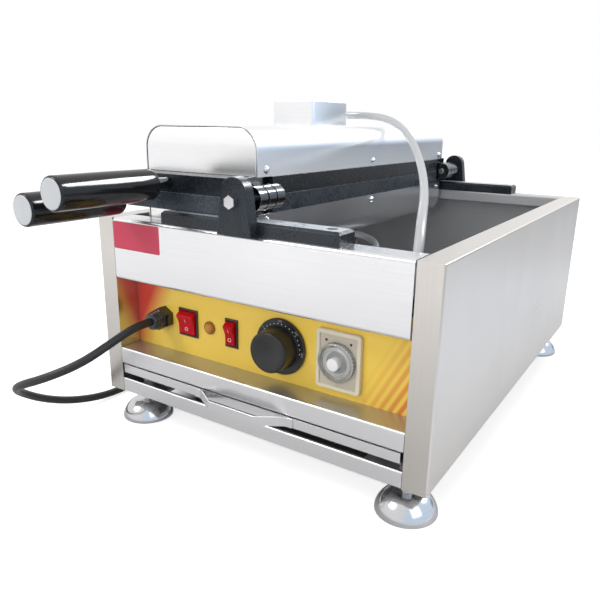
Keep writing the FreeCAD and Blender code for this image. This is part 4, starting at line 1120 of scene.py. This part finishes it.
def box_shape(node):
    """Folded box with round upright edges and a small round along its lid."""
    low, high, base, top = mould_box(node)
    tall = abs(top - base)
    middle = centre_of(node)
    profile = [(0.0, 0.0), (0.0, tall - 1.6 * mm), (0.12 * mm, tall - 1.0 * mm), (0.5 * mm, tall - 0.4 * mm),
               (1.2 * mm, tall - 0.06 * mm), (2.0 * mm, tall)]
    direction = up * math.copysign(1.0, top - base)
    return raised_block((high.x - low.x) / 2.0, (high.y - low.y) / 2.0, 4.0 * mm, profile,
                        (middle.x, middle.y, base), (across, backward, direction))


class BAKER_OT_moulds(bpy.types.Operator):
    """Cast plates, rounded covers, junction boxes, heaters and cover screws of both moulds."""

    bl_idname = "baker.moulds"
    bl_label = "Moulds"

    def execute(self, context):
        edge = sizes().edge_round
        # Lighter copies of the steel as painted light: most on the cover ends that face the lamps, less on
        # the boxes and skins.
        skin = steel_sheet("cover_brushed_along", (700.0, 9.0, 700.0), 1.1)
        ends = steel_sheet("cover_brushed_across", (9.0, 700.0, 700.0), 1.27)
        folded = steel_sheet("box_brushed_across", (9.0, 700.0, 700.0), 1.14)
        # One iron in two tones: the upper plate is painted darker as shade, and the lower plate lighter as
        # light.
        iron = {"upper": cast_iron("cast_iron_painted_shade", 0.6), "lower": cast_iron("cast_iron_painted_light", 2.4)}
        for side in ("upper", "lower"):
            body = side + "_mould"
            sheet, plates = cover_shapes(side + "_cover", sizes().seam)
            add_piece(side + "_cover_skin", sheet, body, skin, [side + "_cover"], 30.0)
            add_piece(side + "_cover_ends", plates, body, ends, (), 30.0)
            add_piece(side + "_box_skin", box_shape(side + "_junction_box"), body, folded,
                      [side + "_junction_box"], 40.0)
            softened_copy(side + "_plate", iron[side], edge)
            softened_copy(side + "_hinge_leaves", bright_iron(), 2.0 * edge)
            softened_copy(side + "_cover_screws", zinc(), 0.2 * mm)
            finish_nodes(heater_oxide(), side + "_heater")
        return {"FINISHED"}


class BAKER_OT_hinge(bpy.types.Operator):
    """Rest bars, hinge brackets and pins."""

    bl_idname = "baker.hinge"
    bl_label = "Hinge"

    def execute(self, context):
        width = 1.8 * sizes().edge_round
        # Faces that look up are painted a pale blue grey as a painted sheen of the sky.
        iron = reskinned(cast_iron("iron_with_painted_sheen"), facing_up, (0.55, 0.60, 0.66, 1.0), 0.0, "Normal")
        softened_copy("rest_bars", iron, width)
        softened_copy("hinge_brackets", iron, width)
        softened_copy("hinge_pins", zinc(), 0.4 * mm)
        return {"FINISHED"}


# Handles

def grip_shape(node):
    """Turned grip: a rounded rear end, a body that swells by a cosine of 0.2 mm, and a lip round the cap."""
    place, radius, length = round_node(node)
    bore = 6.1
    share = np.linspace(0.0, 1.0, 25)
    drawn_in = 0.1 + 0.1 * np.cos(full_turn * share)
    body = np.column_stack([radius - drawn_in, 4.0 + share * (length - 6.5)])
    rear = quarter_round((radius - 4.2, 4.0), (4.0, 4.0), 8, -right_angle)
    front = quarter_round((radius - 2.2, length - 2.5), (2.0, 2.3), 8)
    return turned(np.concatenate([[(bore, 0.0)], rear[:-1], body, front[1:]]), place, forward, 72)


def cap_shape(node):
    """Turned cap: a low dome of r squared inside a rounded edge."""
    place, radius, deep = round_node(node)
    share = np.linspace(1.0, 0.02, 14)
    dome = np.column_stack([radius * 0.96 * share, deep - 0.5 * share ** 2])
    edge = [(radius, 0.0), (radius, deep - 1.1), (radius * 0.985, deep - 0.75)]
    return turned(np.concatenate([edge, dome]), place, forward)


class BAKER_OT_handles(bpy.types.Operator):
    """Black grips with pale caps on steel rods."""

    bl_idname = "baker.handles"
    bl_label = "Handles"

    def execute(self, context):
        black = black_moulding("grip_bakelite", (0.08, 0.16), 0.04, 0.0, 0.36)
        pale = moulding("cap_plastic", (0.54, 0.56, 0.58), (0.28, 0.4))
        for side in ("upper", "lower"):
            body = side + "_mould"
            add_piece(side + "_grip_turned", grip_shape(side + "_grip"), body, black,
                      [side + "_grip"])
            add_piece(side + "_grip_disc", cap_shape(side + "_grip_cap"), body, pale,
                      [side + "_grip_cap"])
            finish_nodes(bright_iron(), side + "_handle_rod")
        return {"FINISHED"}


# Control panel

capital_share = 0.69
sign_thickness = 0.04 * mm
rocker_rest_tilt = math.radians(12.0)


def flat_text(words, height):
    """Outline of a few signs as a mesh, centred, in a plane."""
    curve = bpy.data.curves.new("signs", "FONT")
    curve.body = words
    curve.size = height / capital_share
    curve.align_x = "CENTER"
    curve.align_y = "CENTER"
    curve.extrude = sign_thickness
    curve.resolution_u = 4
    text = new_object("signs", curve)
    mesh = bpy.data.meshes.new_from_object(text)
    bpy.data.objects.remove(text)
    bpy.data.curves.remove(curve)
    return mesh


def add_signs(name, words, height, place, facing, body, material):
    """Signs that lie on a face: x runs along the first facing vector and y along the second."""
    mesh = flat_text(words, height)
    first, second = Vector(facing[0]), Vector(facing[1])
    turn = Matrix((first, second, first.cross(second))).transposed().to_4x4()
    mesh.transform(Matrix.Translation(place) @ turn)
    piece = place_piece(name, mesh, material)
    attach(piece, body)


def tilted(outward, upward):
    """A step out of and up a rocker's front, turned by its tilt at rest."""
    cosine, sine = math.cos(rocker_rest_tilt), math.sin(rocker_rest_tilt)
    return Vector((0.0, -(outward * cosine + upward * sine), upward * cosine - outward * sine))


def rocker_face(x, up_share):
    """Place and upright direction on a rocker's front, from its pivot and its two slopes."""
    pivot = Vector((x, panel_front + 2.0 * mm, controls_level))
    front, middle, reach = 8.6 * mm, 6.8 * mm, 9.65 * mm
    out = middle + (front - middle) * abs(up_share) + 0.05 * mm
    slope = math.atan2(front - middle, reach) * math.copysign(1.0, up_share)
    return pivot + tilted(out, reach * up_share), tilted(math.sin(slope), math.cos(slope))


def add_rocker_marks(node, name):
    """A stroke on the upper slope and a ring on the lower one."""
    for words, share in (("I", 0.52), ("O", -0.52)):
        place, upright = rocker_face(centre_of(node).x, share)
        add_signs(f"{name}_mark_{words.lower()}", words, 4.2 * mm, place, (across, upright),
                  body_of_node(node), white_print())


def lamp_rim_shape(place, radius):
    """Turned rim: a rounded ring round the lens."""
    profile = [(radius - 1.5, 0.0), (radius, 0.0), (radius, 1.4), (radius - 0.4, 2.0), (radius - 1.0, 2.2),
               (radius - 1.5, 1.6)]
    return turned(profile, place, forward, 48)


def lamp_lens_shape(place, radius, height):
    """Fluted dome: a circle's quarter for the profile, with shallow flutes that fade out at its crown."""
    foot, flutes = 0.6, 12
    angle = np.linspace(0.0, right_angle - 0.08, 12)
    profile = np.column_stack([radius * np.cos(angle), foot + (height - foot) * np.sin(angle)])
    return turned(profile, place, forward, flutes * flute_points, flutes, 0.05 * np.cos(angle))


class BAKER_OT_panel(bpy.types.Operator):
    """Control panel film, rocker switches and the amber lamp."""

    bl_idname = "baker.panel"
    bl_label = "Control panel"

    def execute(self, context):
        finish_nodes(panel_film(), "control_panel")
        for name in ("wide", "narrow"):
            softened_copy(name + "_switch_case", switch_bezel(), 0.35 * mm)
            softened_copy(name + "_rocker", rocker_gloss(), 0.4 * mm)
            add_rocker_marks(name + "_rocker", name)
        radius = round_node("heat_lamp")[1]
        height = (panel_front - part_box("heat_lamp")[0].y) / mm
        place = Vector((centre_of("heat_lamp").x, panel_front, controls_level))
        rim = moulding("lamp_rim", shade(colours().lamp, 0.45), (0.2, 0.32), 0.04, 0.3)
        add_piece("lamp_rim", lamp_rim_shape(place, radius), "base", rim, ["heat_lamp"])
        add_piece("lamp_lens", lamp_lens_shape(place, radius - 1.2, height), "base", amber_lens())
        return {"FINISHED"}


# Thermostat

skirt_height = 3.0
dots_radius = 23.6
numbers_radius = 26.2
scale_start = -50.0
scale_end = 96.0


def knob_shape(node):
    """Turned knob: a thin skirt, a tapered grip with a rounded rim, and a dish (1 - r^2)^1.5 in its front."""
    place, skirt, tall = round_node(node)
    start = [(3.1, 0.0), (skirt - 0.5, 0.0), (skirt, 0.5), (skirt, 2.4), (skirt - 0.6, skirt_height),
             (22.0, skirt_height), (21.5, 3.6)]
    rim = quarter_round((18.0, tall - 2.5), (2.5, 2.5), 9)
    share = np.linspace(1.0, 0.01, 16)
    dish = np.column_stack([17.4 * share, tall - 3.4 * (1.0 - share ** 2) ** 1.5])
    return turned(np.concatenate([start, rim, dish]), place, forward, 96)


def dial_place(node, radius, clockwise):
    """Spot on the skirt's front at a radius in millimetres and an angle from the top."""
    aside, above = radius * math.sin(clockwise), radius * math.cos(clockwise)
    return round_node(node)[0] + mm * Vector((aside, -skirt_height, above))


class BAKER_OT_thermostat(bpy.types.Operator):
    """Thermostat knob with the dots and numbers of its skirt."""

    bl_idname = "baker.thermostat"
    bl_label = "Thermostat"

    def execute(self, context):
        node = "thermostat_knob"
        body = body_of_node(node)
        add_piece("knob_turned", knob_shape(node), body,
                  black_moulding("knob_plastic", (0.26, 0.36), 0.08, 0.0, 0.45), [node], 30.0)
        angles = np.radians(np.linspace(scale_start, scale_end, sizes().dial_dots))
        dot = turned([(0.55, 0.0), (0.55, 0.06), (0.3, 0.1)], origin, forward, 12)
        places = [dial_place(node, dots_radius, angle) for angle in angles]
        add_piece("dial_dots", repeated(dot, places), body, white_print())
        grey = moulding("grey_print", (0.42, 0.42, 0.42), (0.4, 0.5))
        for value, degrees in ((0, scale_start), (100, 0.0), (200, 48.0), (300, scale_end)):
            angle = math.radians(degrees)
            place = dial_place(node, numbers_radius, angle) + 0.03 * mm * forward
            facing = ((math.cos(angle), 0.0, -math.sin(angle)), (math.sin(angle), 0.0, math.cos(angle)))
            add_signs(f"dial_number_{value}", str(value), 2.3 * mm, place, facing, body, grey)
        finish_nodes(moulding("thermostat_case", (0.55, 0.52, 0.45), (0.4, 0.5)), "thermostat_body")
        finish_nodes(zinc(), "thermostat_shaft")
        return {"FINISHED"}


# Timer

dark_disc = [(0.5, 0.0), (10.8, 0.0), (10.8, 0.5), (10.4, 0.8), (9.4, 0.8), (9.2, 0.5), (0.5, 0.5)]
pale_disc = [(15.4, 0.0), (15.6, 0.1), (15.6, 0.3), (15.4, 0.4), (0.5, 0.4)]
screw_head = [(1.3, 0.0), (1.3, 0.25), (0.9, 0.4)]


def timer_dial_shape(node):
    """Turned clear dial: an outer wall, a stepped front and a groove round the hub."""
    place, radius, tall = round_node(node)
    flutes = 36
    profile = np.array([
        (radius - 1.6, 0.0), (radius - 0.2, 0.0), (radius, 0.3), (radius, tall - 1.4),
        (radius - 0.5, tall - 0.5), (radius - 1.2, tall), (13.4, tall), (13.0, tall - 0.7),
        (12.2, tall - 0.7), (11.8, tall), (7.0, tall), (6.6, tall - 1.5), (radius - 1.8, tall - 1.6),
    ])
    ripple = np.where(np.abs(profile[:, 0] - radius) < 0.25, 0.008, 0.0)
    return turned(profile, place, forward, flutes * flute_points, flutes, ripple)


def timer_disc_shape(profile, level):
    """Turned disc under the clear dial: its profile carried round the dial's axis."""
    middle = centre_of("timer_dial")
    return turned(profile, (middle.x, level, middle.z), forward)


def timer_hub_shape(node, level):
    """Turned white hub with a rounded front and a shallow waist."""
    middle = centre_of(node)
    radius, rounding = 6.2, 1.3
    tall = (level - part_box(node)[0].y) / mm
    rim = quarter_round((radius - rounding, tall - rounding), (rounding, rounding), 7)
    profile = np.concatenate([[(radius + 0.3, 0.0), (radius - 0.1, 2.5)], rim])
    return turned(profile, (middle.x, level, middle.z), forward, 48)


class BAKER_OT_timer(bpy.types.Operator):
    """Timer case, face plate, clear dial and hub."""

    bl_idname = "baker.timer"
    bl_label = "Timer"

    def execute(self, context):
        cream = moulding("cream_case", colours().timer, (0.34, 0.46), 0.05)
        satin = moulding("satin_face", (0.53, 0.48, 0.385), (0.32, 0.44), 0.04)
        dark = moulding("timer_disc_grey", (0.06, 0.062, 0.066), (0.3, 0.42))
        pale = moulding("scale_white", (0.86, 0.86, 0.84), (0.3, 0.42))
        gloss = moulding("hub_gloss", (0.80, 0.80, 0.79), (0.2, 0.32), 0.03, 0.3)
        low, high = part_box("timer_face")
        face = low.y
        softened_copy("timer_case", cream, 0.6 * mm)
        finish_nodes(satin, "timer_face")
        add_piece("timer_window", timer_dial_shape("timer_dial"), body_of_node("timer_dial"),
                  clear_moulding(), ["timer_dial"], 28.0)
        add_piece("timer_disc", timer_disc_shape(dark_disc, face), "base", dark)
        add_piece("timer_scale", timer_disc_shape(pale_disc, face), "base", pale)
        add_piece("timer_hub_turned", timer_hub_shape("timer_hub", face - 0.5 * mm),
                  body_of_node("timer_hub"), gloss, ["timer_hub"])
        head = turned(screw_head, origin, forward, 20)
        reach = 0.33 * (high.x - low.x)
        middle = centre_of("timer_dial").x
        places = [(middle + side * reach, face, high.z - 6.0 * mm) for side in (-1.0, 1.0)]
        add_piece("timer_screws", repeated(head, places), "base",
                  black_moulding("timer_screw_black", (0.2, 0.3)))
        return {"FINISHED"}


# Sidebar and registration

build_steps = (
    "stage", "power_cord", "conduits", "casing", "feet", "moulds", "hinge", "handles", "panel", "thermostat",
    "timer",
)


class BAKER_PT_sidebar(bpy.types.Panel):
    """Lists the steps and the sizes and colours that they use."""

    bl_idname = "BAKER_PT_sidebar"
    bl_label = "Baker"
    bl_space_type = "VIEW_3D"
    bl_region_type = "UI"
    bl_category = "Baker"

    def draw(self, context):
        for step in build_steps:
            self.layout.operator("baker." + step)
        for settings in (context.scene.baker_sizes, context.scene.baker_colours):
            for name in settings.__annotations__:
                self.layout.prop(settings, name)


classes = (
    BakerSizes, BakerColours, BAKER_OT_stage, BAKER_OT_power_cord, BAKER_OT_conduits, BAKER_OT_casing,
    BAKER_OT_feet, BAKER_OT_moulds, BAKER_OT_hinge, BAKER_OT_handles, BAKER_OT_panel, BAKER_OT_thermostat,
    BAKER_OT_timer, BAKER_PT_sidebar,
)


def register():
    for kind in classes:
        bpy.utils.register_class(kind)
    bpy.types.Scene.baker_sizes = bpy.props.PointerProperty(type=BakerSizes)
    bpy.types.Scene.baker_colours = bpy.props.PointerProperty(type=BakerColours)


def unregister():
    del bpy.types.Scene.baker_sizes
    del bpy.types.Scene.baker_colours
    for kind in reversed(classes):
        bpy.utils.unregister_class(kind)


def main():
    register()
    for step in build_steps:
        getattr(bpy.ops.baker, step)()


if __name__ == "__main__":
    main()
